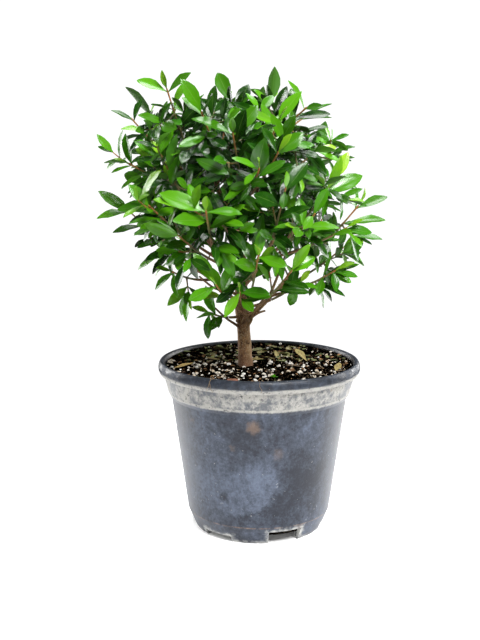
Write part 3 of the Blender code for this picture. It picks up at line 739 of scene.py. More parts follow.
def lump(size, subdivisions, amount, draw):
    """A ball whose corners are moved a little, by noise, so that no two are alike."""
    bm = bmesh.new()
    bmesh.ops.create_icosphere(bm, subdivisions=subdivisions, radius=size)
    offset = Vector((draw.random(), draw.random(), draw.random())) * 50
    for vert in bm.verts:
        vert.co += noise.noise_vector(vert.co / size * 1.3 + offset) * amount * size
    return bm


def spin(angle, axis):
    return Matrix.Rotation(angle, 4, axis)


def on_mix(x, y, lift=0.0):
    """A place on the mix's surface, or a little above it."""
    return Matrix.Translation((x, y, mix_height(x, y) + lift))


def one_grain(kind, x, y, size, draw):
    _, _, shape, subdivisions, roughness = GRAINS[kind]
    bm = lump(size, subdivisions, roughness * 2, draw)
    lean = PERLITE_LEAN if kind == "perlite" else GRAIN_LEAN
    turned = spin(draw.uniform(0, math.tau), "Z") @ spin(draw.gauss(0, lean), "X")
    stretch = Matrix.Diagonal((*(part * draw.uniform(0.8, 1.2) for part in shape), 1))
    bm.transform(on_mix(x, y, size * shape[2] * GRAIN_RAISED) @ turned @ stretch)
    dark, light = (Vector(colour) for colour in GRAIN_COLOURS[kind])
    colour = (*dark.lerp(light, draw.random()), 1)
    tone = bm.verts.layers.float_color.new("tone")
    for vert in bm.verts:
        vert[tone] = colour
    return bm


def scatter_grains(kind, draw):
    count, (smallest, largest), _, _, _ = GRAINS[kind]
    bm = new_toned()
    for _ in range(count):
        around = draw.uniform(0, math.tau)
        out = GRAIN_EDGE * math.sqrt(draw.uniform(0.01, 1))
        size = (smallest + (largest - smallest) * draw.random() ** SMALL_GRAINS) * MM
        x, y = out * math.cos(around), out * math.sin(around)
        if kind == "leaf_litter" and y < LITTER_FRONT:
            continue
        if kind == "perlite" and y > LITTER_FRONT and draw.random() > PERLITE_BEHIND:
            continue
        if math.hypot(x - TRUNK_FOOT, y) > TRUNK_CLEAR + size:
            append(bm, one_grain(kind, x, y, size, draw))
    return bm


def grain_finish(kind):
    """The grain's own colour, darker in its pits."""
    material, shader, plain = new_material(kind + "_finish", Roughness=0.9, Specular_IOR_Level=0.01)
    own = wire("Attribute", {}, shader.id_data, attribute_name="tone").outputs["Color"]
    pits = noise_at(plain, 1500.0)
    shade = blend(ramp(pits, 0.35, 0.6, 0.6, 0.0), own, (0.03, 0.02, 0.012))
    feed(shader, Base_Color=shade, Normal=bump(pits, 0.6, 0.3 * MM))
    return material


for kind in GRAINS:
    grains = scatter_grains(kind, random.Random(SEED + len(kind)))
    say(make_piece(kind, grains, [grain_finish(kind)], sharp=math.radians(30)))

# %% [markdown]
# ## Wood: the trunk, its limbs and its twigs
# The trunk rises almost straight and swells where old shoots were cut. Twelve limbs leave it
# and fork into a twig for each shoot. The points are the same as in the solids, joined here
# by smooth curves, so that every twig still ends where its shoot begins.
#
# The plan comes first: where each shoot ends, which limb bears it, and the curve that leads
# from the trunk to it. Nothing is drawn yet. It is the same rule as in the solids, so that each
# finer piece stands exactly where its solid stands.

# %% Plan of the tree
TRUNK = (
    (-10.5, 0, 96, 5.2),
    (-10.5, 0, 118, 5.4),
    (-10.7, 0, 134, 5.8),
    (-12.0, 0, 152, 5.3),
    (-13.2, 0, 171, 5.4),
    (-14.0, 0, 186, 6.3),
    (-14.9, 0, 198, 5.3),
    (-15.0, 1, 216, 4.6),
    (-14.2, 0, 240, 3.8),
    (-14.0, -1, 262, 3.1),
    (-16.0, 1, 288, 2.4),
    (-18.0, 2, 311, 1.8),
)
LIMB_HEIGHTS = (0.168, 0.304)
LIMB_STEEPNESS = 0.55
LIMB_REACH = 0.45
LIMB_COUNT = 12
LIMB_RADII = (1.75 * MM, 1.25 * MM)
LIMB_SAG = 4 * MM
FORK_SHARES = (0.95, 0.55)
TWIG_RADII = (1.3 * MM, 1.0 * MM)
STUB = ((-7, 0, 173), (-1, -1, 177), (5, -1, 179))
CROWN_MIDDLE = Vector((-0.019, 0.0, 0.270))
CROWN_HALF_WIDTH = 0.095
CROWN_HALF_DEPTH = 0.095
CROWN_UP = 0.097
CROWN_DOWN = 0.086
CROWN_SQUARENESS = 2.7
SHOOT_REACH = 0.80
SITE_COUNT = 54
SITE_LOWEST = -0.66
SITE_CLEARANCE = 32 * MM
STEM_START = 0.45
STEM_SAG = 6 * MM
SEEN_SHOOTS = {
    "left_crest": ((-90, 36, 335), ((-105, 42, 362),)),
    "twig_crest": ((-71, -30, 354), ((-94, -26, 363), (-54, -36, 367))),
    "middle_crest": ((-23, -2, 344), ((-34, 6, 370), (-23, -8, 358), (-45, -10, 355))),
    "right_crest": ((11, 40, 349), ((14, 42, 375), (-1, 48, 362))),
    "right_far_crest": ((35, -28, 340), ((24, -30, 362), (45, -36, 343), (54, -24, 337))),
    "bright_crest": ((13, -48, 330), ((29, -46, 353), (-7, -58, 336), (3, -40, 344))),
    "right_shoulder": ((48, 38, 309), ((57, 42, 330), (69, 34, 321), (39, 28, 318))),
    "right_upper": ((60, -22, 289), ((69, -20, 307), (74, -26, 299), (81, -16, 291), (64, -32, 302))),
    "right_wide": ((79, 0, 264), ((77, -8, 281), (103, 4, 273), (101, -2, 256), (80, 8, 249))),
    "right_middle": ((67, -30, 249), ((88, -28, 247), (83, -38, 242), (60, -44, 262))),
    "right_low": ((69, 14, 229), ((89, 16, 216), (76, 4, 219))),
    "right_under": ((61, -8, 213), ((80, -6, 208), (62, -14, 196), (46, -20, 196))),
    "right_hang": ((32, -22, 205), ((23, -20, 185), (45, -30, 203))),
    "front_right_low": ((-2, -74, 233), ((18, -84, 226), (0, -74, 252), (-17, -84, 232))),
    "front_low": ((-16, -58, 203), ((6, -66, 204), (-28, -62, 184), (-6, -60, 224), (-5, -70, 192))),
    "front_left_low": ((-34, -60, 209), ((-50, -62, 233), (-54, -66, 198), (-26, -66, 229))),
    "hanging_left": ((-41, -14, 180), ((-44, -16, 158), (-33, -6, 162), (-53, -20, 167))),
    "left_low": ((-77, 16, 227), ((-103, 18, 213), (-96, 8, 211))),
    "left_under": ((-69, -24, 214), ((-85, -24, 201), (-66, -34, 195), (-54, -42, 225))),
    "left_wide": ((-106, -4, 262), ((-128, -6, 277), (-131, -2, 258), (-118, -8, 245), (-86, -22, 284))),
    "left_shoulder": ((-103, 14, 333), ((-118, 10, 341), (-104, 20, 351), (-112, 6, 317))),
    "left_upper": ((-101, -26, 298), ((-116, -26, 292), (-105, -32, 320))),
    "front_v": ((-40, -87, 266), ((-72, -88, 281), (-14, -92, 267), (-53, -97, 283), (-62, -98, 264))),
    "front_crest": ((-21, -66, 321), ((-49, -62, 336), (-2, -62, 341), (-22, -78, 335))),
    "front_left_high": ((-74, -58, 305), ((-93, -58, 318), (-98, -54, 308), (-79, -68, 323))),
    "front_right_high": ((12, -74, 307), ((30, -74, 321), (2, -82, 325), (-7, -78, 316))),
    "front_right": ((17, -84, 282), ((14, -96, 269), (33, -76, 301), (-3, -92, 277))),
    "front_middle": ((-2, -88, 296), ((-20, -92, 306), (-11, -98, 289), (1, -92, 315))),
    "right_front": ((40, -60, 262), ((31, -74, 252), (48, -64, 281), (59, -58, 254))),
}


def mm(*numbers):
    return Vector(numbers) * MM


def trunk_at(height):
    """The trunk's middle at a height."""
    for (x0, y0, z0, _), (x1, y1, z1, _) in zip(TRUNK, TRUNK[1:]):
        if height <= z1 * MM:
            break
    share = min(1, (height - z0 * MM) / ((z1 - z0) * MM))
    return Vector((x0, y0, z0)).lerp(Vector((x1, y1, z1)), share) * MM


def crown_reach(direction):
    """How far the crown's surface lies from its middle in a direction."""
    upward = CROWN_UP if direction.z > 0 else CROWN_DOWN
    halves = (CROWN_HALF_WIDTH, CROWN_HALF_DEPTH, upward)
    total = sum(abs(part / half) ** CROWN_SQUARENESS for part, half in zip(direction, halves))
    return total ** (-1 / CROWN_SQUARENESS)


def spread_directions(count, lowest):
    """Directions spread evenly over a ball, down to a lowest height, by the golden angle."""
    golden = math.pi * (3 - math.sqrt(5))
    for index in range(count):
        height = 1 - (1 - lowest) * (index + 0.5) / count
        flat = math.sqrt(1 - height**2)
        yield Vector((flat * math.cos(index * golden), flat * math.sin(index * golden), height))


def plan_shoots():
    """(name, end of stem, seen leaf tips) of every shoot: those seen, then the rest by rule."""
    shoots = []
    for name, (end, tips) in SEEN_SHOOTS.items():
        shoots.append(("shoot_" + name, mm(*end), [mm(*tip) for tip in tips]))
    seen = [end for _, end, _ in shoots]
    for direction in spread_directions(SITE_COUNT, SITE_LOWEST):
        end = CROWN_MIDDLE + direction * crown_reach(direction) * SHOOT_REACH
        if all((end - other).length > SITE_CLEARANCE for other in seen):
            shoots.append((f"shoot_{len(shoots) + 1}", end, []))
    return shoots


def arc(start, sag, end, first, last, count):
    """Points of a curve that leaves start flatly and rises to end, between two of its shares."""
    bend = (start + end) / 2 - Vector((0, 0, sag))
    for index in range(count):
        share = first + (last - first) * index / (count - 1)
        yield start.lerp(bend, share).lerp(bend.lerp(end, share), share)


def limb_height(end):
    """The height at which the wood that leads to a shoot leaves the trunk."""
    flat = math.hypot(end.x - CROWN_MIDDLE.x, end.y)
    lowest, highest = LIMB_HEIGHTS
    return min(max(end.z - LIMB_STEEPNESS * flat, lowest), highest)


LIMB_WAYS = list(spread_directions(LIMB_COUNT, SITE_LOWEST))


def limb_of(end):
    """The number of the limb that points most nearly towards a place."""
    return max(range(LIMB_COUNT), key=lambda index: LIMB_WAYS[index].dot(end - CROWN_MIDDLE))


def plan_wood(shoots):
    """The start and tip of each limb, and the fork and end of the curve that leads to each shoot."""
    groups = [[] for _ in LIMB_WAYS]
    for shoot in shoots:
        groups[limb_of(shoot[1])].append(shoot)
    limbs, leads = [], {}
    for group in [group for group in groups if group]:
        start = trunk_at(min(limb_height(end) for _, end, _ in group))
        mean = sum((end for _, end, _ in group), Vector()) / len(group)
        tip = start.lerp(mean, LIMB_REACH)
        limbs.append((start, tip))
        forks = arc(start, LIMB_SAG, tip, *FORK_SHARES, max(2, len(group)))
        for (name, end, _), fork in zip(group, forks):
            leads[name] = (fork, end)
    return limbs, leads


shoots = plan_shoots()
limbs, leads = plan_wood(shoots)
print(len(shoots), "shoots on", len(limbs), "limbs")

# %% [markdown]
# Every round stem is made in the same way. A flat grid of faces is rolled round the path, as a
# sheet is rolled into a tube. Its seam is welded and its ends are closed. The radius may
# change along the path and round it, which gives collars, swellings and the grain of bark.

# %% Rods
FIRST_SIDE = Vector((0.31, 0.95, 0.05))
SEAM = 0.005 * MM
COLLAR_DECAY = 9


def through(points, count):
    """Points of a smooth curve through all the given ones."""
    padded = [points[0], *points, points[-1]]
    for index in range(count):
        place = index / (count - 1) * (len(points) - 1)
        knot = min(int(place), len(points) - 2)
        t = place - knot
        a, b, c, d = padded[knot : knot + 4]
        square, cube = a * 2 - b * 5 + c * 4 - d, b * 3 - a - c * 3 + d
        yield (b * 2 + (c - a) * t + square * t**2 + cube * t**3) / 2


def sides_along(path):
    """Two directions square to the path at each of its points, turned as little as possible."""
    side = FIRST_SIDE
    for index in range(len(path)):
        ahead = (path[min(index + 1, len(path) - 1)] - path[max(index - 1, 0)]).normalized()
        side = (side - ahead * side.dot(ahead)).normalized()
        yield side, ahead.cross(side)


def add_rod(bm, path, radius_at, sides, youth=(0.0, 0.0), material=0):
    """Adds a closed rod. radius_at takes the share along, the angle round and the point there."""
    rod = new_toned()
    tone = rod.verts.layers.float_color["tone"]
    rings = len(path) - 1
    bmesh.ops.create_grid(rod, x_segments=sides, y_segments=rings, size=1)
    directions = list(sides_along(path))
    for vert in rod.verts:
        share, around = (vert.co.y + 1) / 2, (vert.co.x + 1) * math.pi
        ring = round(share * rings)
        side, other = directions[ring]
        vert[tone] = (youth[0] + (youth[1] - youth[0]) * share, 0.5, share, 1)
        outward = side * math.cos(around) + other * math.sin(around)
        vert.co = path[ring] + outward * radius_at(share, around, path[ring])
    bmesh.ops.remove_doubles(rod, verts=rod.verts, dist=SEAM)
    bmesh.ops.holes_fill(rod, edges=rod.edges, sides=0)
    bmesh.ops.recalc_face_normals(rod, faces=rod.faces)
    for face in rod.faces:
        face.material_index = material
    append(bm, rod)


def tapered(first, last, collar=0.0):
    """A radius that goes from first to last, with a collar that flares at the start."""
    def radius_at(share, around, point):
        return (first + (last - first) * share) * (1 + collar * math.exp(-share * COLLAR_DECAY))
    return radius_at


# %% [markdown]
# The trunk's bark is thin and lightly ridged. Old pruning cuts have grown over into swellings,
# and the foot flares a little where the roots begin. Limbs and twigs keep the same smooth bark
# in a browner tone.

# %% Trunk, limbs and twigs
TRUNK_SIDES, TRUNK_RINGS = 28, 120
LIMB_SIDES, LIMB_RINGS = 12, 26
TWIG_SIDES, TWIG_RINGS = 9, 14
CUT_TWIG_RINGS = 16
COLLAR = 0.3
CUT_COLLAR = 0.5
FLARE_HEIGHT = 132 * MM
FLARE_SPREAD = 9 * MM
FLARE_SIZE = 0.06
FLARE_LOBES, LOBE_SIZE = 4, 0.05
CUT_ROUGHNESS = 0.35
SMALL_TWIGS = (
    ((-11, -3, 165), (-6.7, -3, 171), (-4.3, -3, 179), (6.1, -6, 192.6)),
    ((-13, -2, 163), (-19, -4, 168), (-27, -6, 173.8), (-35.7, -10, 182.7)),
    ((-14, 3, 196), (-6, 8, 204), (4, 12, 209), (13, 15, 219)),
    ((-15, -2, 190), (-24, -8, 196), (-36, -12, 199), (-48, -15, 209)),
)
CUTS = (
    (-9.0, -4.6, 154.0, 1.7),
    (-17.0, -3.6, 171.5, 1.9),
    (-11.0, -4.8, 187.0, 2.4),
    (-19.0, -2.0, 205.0, 1.7),
)
BARK_FORM = ((3.2, 0, 0, 28, 0.075), (0.9, 3, 0, 75, 0.09), (6.5, 0, 7, 220, 0.035))
BARK_FIT = 0.98
CUT_TWIG_RADII = (1.25 * MM, 0.75 * MM)
LIT_SIDE_REACH = (-13.5 * MM, -6 * MM)
TRUNK_FOOT_DARKENING = (134 * MM, 150 * MM)
FURROW = (0.055, 0.026, 0.013)
RIDGE = (0.3, 0.16, 0.07)
PALE_BARK = (0.2, 0.105, 0.053)
PAINTED_LIGHT_BARK = (0.33, 0.22, 0.11)
LICHEN = (0.4, 0.29, 0.18)
DARKER_FOOT_BARK = (0.09, 0.035, 0.02)
TWIG_BARK = (0.16, 0.09, 0.045)


def trunk_radius(share, around, point):
    """The drawn radius with ridges along the trunk, lumps, fine grain and a lobed flare below."""
    place = share * (len(TRUNK) - 1)
    knot = min(int(place), len(TRUNK) - 2)
    radius = (TRUNK[knot][3] + (TRUNK[knot + 1][3] - TRUNK[knot][3]) * (place - knot)) * MM
    turned = Vector((math.cos(around), math.sin(around), 0))
    form = BARK_FIT
    for scale, x, y, rise, amount in BARK_FORM:
        form += noise.noise(turned * scale + Vector((x, y, point.z * rise))) * amount
    flare = math.exp(-(((point.z - FLARE_HEIGHT) / FLARE_SPREAD) ** 2))
    return radius * (form + flare * (FLARE_SIZE + LOBE_SIZE * math.sin(around * FLARE_LOBES + 1)))


def make_wood():
    bm = new_toned()
    add_rod(bm, list(through([mm(*place[:3]) for place in TRUNK], TRUNK_RINGS)), trunk_radius, TRUNK_SIDES)
    for x, y, z, size in CUTS:
        scar = lump(size * MM, 3, CUT_ROUGHNESS, random.Random(int(z)))
        scar.transform(Matrix.Translation(mm(x, y, z)))
        append(bm, scar)
    for start, tip in limbs:
        limb = list(arc(start, LIMB_SAG, tip, 0, 1, LIMB_RINGS))
        add_rod(bm, limb, tapered(*LIMB_RADII, COLLAR), LIMB_SIDES, (0.0, 0.15))
    for fork, end in leads.values():
        twig = list(arc(fork, STEM_SAG, end, 0, STEM_START, TWIG_RINGS))
        add_rod(bm, twig, tapered(*TWIG_RADII, COLLAR), TWIG_SIDES, (0.15, 0.45))
    for points in (STUB, *SMALL_TWIGS):
        twig = list(through([mm(*point) for point in points], CUT_TWIG_RINGS))
        add_rod(bm, twig, tapered(*CUT_TWIG_RADII, CUT_COLLAR), TWIG_SIDES, (0.1, 0.2))
    return bm


def bark():
    material, shader, plain = new_material("thin_bark", Specular_IOR_Level=0.25, Roughness=0.82)
    ridges = noise_at(stretched(plain, (1, 1, 0.38)), 560.0, 6.0, 0.75)
    clouds = place_group(CLOUD, Vector=plain, Scale=130.0, Cover=0.5, Softness=0.2)
    grey = place_group(SPECKLE, Vector=plain, Scale=640.0, Amount=0.7)
    side, _, height = split(plain)
    # Painted light: the trunk's right side, towards the key lamp, is paler, most of all on the ridges.
    painted_light = times(ramp(side, *LIT_SIDE_REACH, 0.0, 0.75), ramp(ridges, 0.38, 0.55, 0.4, 1.0))
    colour = blend(ramp(ridges, 0.36, 0.64), FURROW, RIDGE)
    for mask, shade in (
        (times(clouds, 0.5), PALE_BARK),
        (painted_light, PAINTED_LIGHT_BARK),
        (times(grey, 0.45), LICHEN),
        # The bark is darker towards the trunk's foot, just above the mix.
        (ramp(height, *TRUNK_FOOT_DARKENING, 0.6, 0.0), DARKER_FOOT_BARK),
        (ramp(tones(shader)[0], 0.1, 0.5, 0.0, 0.75), TWIG_BARK),
    ):
        colour = blend(mask, colour, shade)
    feed(shader, Base_Color=colour, Normal=bump(ridges, 0.7, 0.4 * MM))
    return material


wood = make_piece("trunk_and_limbs", make_wood(), [bark()], ["trunk"])
say(wood)

# %% [markdown]
# ## Leaves
# A brush cherry leaf is small, thick and glossy, folded along its midrib, with a short stalk
# and a drawn-out tip. One flat leaf is made first: a grid, its copy turned over below it, and
# the two welded at the rim. Every leaf on the tree, and every dry one on the mix, is this one
# bent to its own shape by a formula, so all of them are closed thin solids with the same faces.

# %% The flat leaf
LEAF_ACROSS = 4
LEAF_ALONG = 8
PETIOLE = 0.1
PETIOLE_HALF = 0.42 * MM
LEAF_THICK = 0.5 * MM
HALF_WIDTH = 0.46
ROUNDNESS = 0.78
WIDEST_AT = (1.22, 0.24)
FOLD = 0.4
EDGE_DROP = 0.12
RIPPLE = 0.09
SICKLE = 0.05
CREASE = 0.35


def flat_leaf():
    """x runs from -1 to 1 across, y from 0 to 1 along; z is 1 above, -1 below and 0 at the rim."""
    bm = bmesh.new()
    uv = bm.loops.layers.uv.new("leaf")
    bmesh.ops.create_grid(bm, x_segments=LEAF_ACROSS, y_segments=LEAF_ALONG, size=1)
    for vert in bm.verts:
        vert.co.y = (1 - math.cos((vert.co.y + 1) / 2 * math.pi)) / 2
    for face in bm.faces:
        for loop in face.loops:
            loop[uv].uv = ((loop.vert.co.x + 1) / 2, loop.vert.co.y)
    copied = bmesh.ops.duplicate(bm, geom=bm.faces[:])["geom"]
    under = [item for item in copied if isinstance(item, bmesh.types.BMFace)]
    for face in under:
        for loop in face.loops:
            loop[uv].uv.x += 2
        for vert in face.verts:
            vert.co.z = -1
    bmesh.ops.reverse_faces(bm, faces=under)
    for vert in bm.verts:
        if abs(vert.co.x) > 0.99 or not 0.001 < vert.co.y < 0.999:
            vert.co.z = 0
        elif vert.co.z > -0.5:
            vert.co.z = 1
    bmesh.ops.remove_doubles(bm, verts=bm.verts, dist=0.001)
    bm.verts.layers.float_color.new("tone")
    return to_mesh("flat_leaf", bm)


def bent(flat, length, width, arch, wave):
    """Where a point of the flat leaf lies on the grown one: folded, waved at the edge, arched."""
    share = max(0.0, (flat.y - PETIOLE) / (1 - PETIOLE))
    widest = WIDEST_AT[0] + WIDEST_AT[1] * math.sin(wave * 5)
    round_part = math.sin(math.pi * share**widest) ** ROUNDNESS
    half = PETIOLE_HALF * (1 - share) + HALF_WIDTH * width * round_part
    sag = arch * length * flat.y**2
    lift = FOLD * half * abs(flat.x) ** 1.4 - EDGE_DROP * half * flat.x**4
    ripple = RIPPLE * half * abs(flat.x) ** 3 * math.sin(flat.y * 11 + wave * (1 if flat.x > 0 else 2))
    sickle = SICKLE * length * math.sin(wave) * flat.y * (1 - flat.y)
    crease = CREASE * LEAF_THICK if abs(flat.x) < 0.1 and 0.05 < flat.y < 0.95 else 0
    height = lift + ripple - sag + flat.z * LEAF_THICK / 2 - crease
    return Vector((flat.x * half + sickle, flat.y * length, height))


FLAT_LEAF = flat_leaf()
print("flat leaf:", len(FLAT_LEAF.polygons), "faces")

# %% [markdown]
# A blade turns its face to the light: up, a little outwards, and forward on the front of the
# crown. The growing rule draws one leaf and then tries it at a few turns round its stem. A
# solid's own corners mark its leaves' tips, so for a leaf of the solids the right try is known,
# and for any other leaf it is the first that is clear. A leaf whose tip is read from the
# photograph, and any leaf that is not in the solids, is also rolled about the line from its
# root to its tip, so that it shows the camera more than its edge.

# %% Growing rule
LEAF_LENGTHS = (21 * MM, 29 * MM)
SHORTEST_LEAF = 17 * MM
LEAF_SLENDERNESS = (0.34, 0.44)
LEAF_ARCHES = (0.06, 0.2)
LEAF_SPREADS = {"roll": 0.35, "turn": 0.3, "lean": 0.16}
END_SPREAD = 0.2
END_LIFT = 0.1
LEAF_SINK = 0.6 * MM
YOUNG_LEAF = 0.6
LEAF_PLACES = (0.93, 0.93, 0.64, 0.64, 0.34, 1)
LEAF_AGES = (0.45, 0.45, 0.3, 0.3, 0.15, 0.85)
PAIR_LEAN = math.radians(52)
SIDE_PLACES = (0.25, 0.6)
SIDE_LENGTHS = (14 * MM, 21 * MM)
SIDE_LEAN = math.radians(50)
SIDE_TURNS = 8
SIDE_RADII = (0.75 * MM, 0.6 * MM)
SIDE_LEAF_PLACES = (0.7, 0.7, 1)
SIDE_LEAF_AGES = (0.3, 0.3, 0.65)
SIDE_LEAF = 0.85
LIGHT_ABOVE = Vector((0, 0, 0.85))
LIGHT_OUTSIDE = 0.5
LIGHT_IN_FRONT = Vector((0, -0.45, 0))
FRONT_DEPTH = 20 * MM
TRIES = ((0, 0), (22, 0), (-22, 0), (0, -20), (0, 20), (40, -12), (-40, -12), (60, 10), (-60, 10))
TRIES += ((90, 0), (-90, 0), (130, -15), (180, 0))
TIP_TOLERANCE = 0.8 * MM
TO_CAMERA = (Vector(CAMERA_PLACE) - CROWN_MIDDLE).normalized()
LEAST_SHOWN = 0.4
FACE_TURNS = (0, 12, -12, 24, -24, 36, -36)


def along(path, share):
    """The point at a share of a path's pieces, and the way the path runs there."""
    place = share * (len(path) - 1)
    index = min(int(place), len(path) - 2)
    return path[index].lerp(path[index + 1], place - index), (path[index + 1] - path[index]).normalized()


def level_side(stem):
    return stem.cross(Vector((0, 0, 1))).normalized()


def pair_way(stem, number, turned, lean):
    """The way of a leaf beside its stem. Each pair stands crosswise to the one before."""
    turned += math.pi / 2 * (number // 2) + math.pi * (number % 2)
    side = Matrix.Rotation(turned, 3, stem) @ level_side(stem)
    return stem * math.cos(lean) + side * math.sin(lean)


def end_way(stem, lift, draw):
    """The way of the leaf that ends a stem."""
    aside, ahead = draw.gauss(0, END_SPREAD), draw.gauss(0, END_SPREAD)
    return (stem + Vector((aside, ahead, lift))).normalized()


def plan_leaf(path, share, number, draw):
    """A leaf as (root, stem's way, leaf's way, length, width, arch, roll), as in the solids."""
    length = draw.uniform(*LEAF_LENGTHS)
    slenderness = draw.uniform(*LEAF_SLENDERNESS)
    arch = draw.uniform(*LEAF_ARCHES)
    roll, turned, lean = (draw.gauss(0, spread) for spread in LEAF_SPREADS.values())
    root, stem = along(path, share)
    way = end_way(stem, END_LIFT, draw) if share == 1 else pair_way(stem, number, turned, PAIR_LEAN + lean)
    return root, stem, way, length, length * slenderness, arch, roll


def resized(leaf, scale):
    root, stem, way, length, width, arch, roll = leaf
    return root, stem, way, length * scale, width * scale, arch, roll


def plan_leaves(tips, path, draw):
    """The leaves of a shoot's own stem. The seen ones come first and reach their seen tips."""
    for number, share in enumerate(LEAF_PLACES):
        leaf = plan_leaf(path, share, number, draw)
        if number < len(tips):
            root, stem, _, length, width, arch, roll = leaf
            slenderness = width / length
            way = tips[number] - root
            length = max(way.length, SHORTEST_LEAF)
            leaf = root, stem, way.normalized(), length, length * slenderness, arch, roll
        elif share == 1 and tips:
            leaf = resized(leaf, YOUNG_LEAF)
        yield leaf


def plan_side_leaves(root, end, draw):
    """The smaller leaves of a side stem: one pair and one at its end."""
    for number, share in enumerate(SIDE_LEAF_PLACES):
        yield resized(plan_leaf([root, end], share, number, draw), SIDE_LEAF)


def sides_in_solid(path, draw, corners):
    """The root, end and leaves of each side stem that the solid has, known by its end's corners."""
    for share in SIDE_PLACES:
        length, first = draw.uniform(*SIDE_LENGTHS), draw.uniform(0, math.tau)
        root, stem = along(path, share)
        for number in range(SIDE_TURNS):
            turned = Matrix.Rotation(first + number * math.tau / SIDE_TURNS, 3, stem) @ level_side(stem)
            end = root + (stem * math.cos(SIDE_LEAN) + turned * math.sin(SIDE_LEAN)) * length
            if len(corners.find_range(end, SIDE_RADII[0])) > 1:
                yield root, end, list(plan_side_leaves(root, end, draw))
                break


def leaf_place(root, way, roll):
    """The matrix that puts a blade at its root, along its way, with its face to the light."""
    out = Vector((root.x - CROWN_MIDDLE.x, root.y, 0)).normalized()
    front = LIGHT_IN_FRONT if root.y < FRONT_DEPTH else Vector()
    light = LIGHT_ABOVE + out * LIGHT_OUTSIDE + front
    face = Matrix.Rotation(roll, 3, way) @ (light - way * light.dot(way)).normalized()
    turned = Matrix((way.cross(face), way, face)).transposed().to_4x4()
    return Matrix.Translation(root - way * LEAF_SINK) @ turned


def tries(leaf):
    """The leaf as planned, then turned round its stem and bent up or down."""
    root, stem, way, length, width, arch, roll = leaf
    for turned, raised in TRIES:
        tried = Matrix.Rotation(math.radians(turned), 3, stem) @ way
        hinge = tried.cross(stem)
        if hinge.length > 0.01:
            tried = Matrix.Rotation(math.radians(raised), 3, hinge.normalized()) @ tried
        yield leaf_place(root, tried, roll), length, width, arch


def shown(place, length, width, arch):
    """The leaf rolled about the line from root to tip until enough of its face is seen."""
    chord = Vector((0, 1, -arch))
    rolled = [place @ Matrix.Rotation(math.radians(turn), 4, chord) for turn in FACE_TURNS]
    best = max(rolled, key=lambda option: min(LEAST_SHOWN, abs(option.col[2].xyz.dot(TO_CAMERA))))
    return best, length, width, arch


def corners_of(node):
    """The corners of a solid, in a tree that finds the nearest one."""
    verts = frame["nodes"][node].data.vertices
    corners = KDTree(len(verts))
    for index, vert in enumerate(verts):
        corners.insert(vert.co, index)
    corners.balance()
    return corners


def leaf_in_solid(leaf, corners):
    """The try at which the solid has a leaf tip, or None if the leaf was left out."""
    for place, length, width, arch in tries(leaf):
        if corners.find(place @ Vector((0, length, -arch * length)))[2] < TIP_TOLERANCE:
            return place, length, width, arch
    return None


# %% [markdown]
# Two leaves must not run through one another. Each placed leaf keeps a coarse outline of
# itself in a box of space, and a new leaf is tested against those in its own and the
# neighbouring boxes only. The first fifth of a leaf, its stalk, isn't tested.

# %% Room for a leaf
CELL = 30 * MM
OUTLINE = [Vector((x, y, 0)) for y in (0.2, 0.45, 0.75) for x in (-1, 0, 1)] + [Vector((0, 1, 0))]
OUTLINE_FACES = [(0, 1, 4, 3), (1, 2, 5, 4), (3, 4, 7, 6), (4, 5, 8, 7), (6, 7, 9), (7, 8, 9)]
MARGIN = 0.5 * MM

cells = {}
stem_trees = []


def outline_tree(place, length, width, arch, lift):
    """The leaf's coarse outline, raised by a lift, for tests, and its corners."""
    corners = [place @ (bent(flat, length, width, arch, 0) + Vector((0, 0, lift))) for flat in OUTLINE]
    return BVHTree.FromPolygons(corners, OUTLINE_FACES), corners


def cell_of(point):
    return tuple(math.floor(part / CELL) for part in point)


def near(middle):
    """What is kept in the box of a point and in the boxes round it."""
    x, y, z = cell_of(middle)
    for dx, dy, dz in itertools.product((-1, 0, 1), repeat=3):
        yield from cells.get((x + dx, y + dy, z + dz), ())


def keep_room(place, length, width, arch):
    """Notes the room that a placed leaf takes, as a sheet above it and one below it."""
    box = cells.setdefault(cell_of(place @ Vector((0, length / 2, 0))), [])
    box += [outline_tree(place, length, width, arch, lift)[0] for lift in (-MARGIN, MARGIN)]


def has_room(place, length, width, arch):
    """Whether the leaf lies in the solids' bounds and crosses no stem and no other leaf."""
    tree, corners = outline_tree(place, length, width, arch, 0)
    for corner in corners:
        for part, low, high in zip(corner, *cad_box):
            if not low + MARGIN < part < high - MARGIN:
                return False
    others = itertools.chain(stem_trees, near(place @ Vector((0, length / 2, 0))))
    return not any(tree.overlap(other) for other in others)


# %% [markdown]
# A leaf's colour follows its age: lime at the tips of the shoots while it is small, then fresh
# green, then a dark green inside the crown. The age runs from 0 for the oldest to 1 for the
# youngest. It is kept with a random number in the piece's colour attribute, where the finish
# reads them.

# %% One leaf
LEAF_GREENS = (
    ((0.002, 0.018, 0.001), (0.011, 0.075, 0.0015)),
    ((0.028, 0.165, 0.002), (0.1, 0.35, 0.005)),
    ((0.15, 0.42, 0.012), (0.34, 0.6, 0.03)),
)
PATCH_GREEN = (0.06, 0.2, 0.012)
VEIN_GREEN = (0.2, 0.36, 0.08)
UNDER_GREEN = (0.08, 0.2, 0.025)
STEM_COLOURS = ((0.1, 0.085, 0.03), (0.36, 0.12, 0.03))
STEM_SPOT = (0.14, 0.2, 0.04)


def add_leaf(bm, place, length, width, arch, youth, draw):
    """Adds the flat leaf, bent to its own shape, with its age and a random number as its tone."""
    wave = draw.uniform(0, math.tau)
    marks = (min(max(youth, 0), 1), draw.random(), 0, 1)
    part = bmesh.new()
    part.from_mesh(FLAT_LEAF)
    tone = part.verts.layers.float_color["tone"]
    for vert in part.verts:
        vert.co = place @ bent(vert.co, length, width, arch, wave)
        vert[tone] = marks
    append(bm, part)


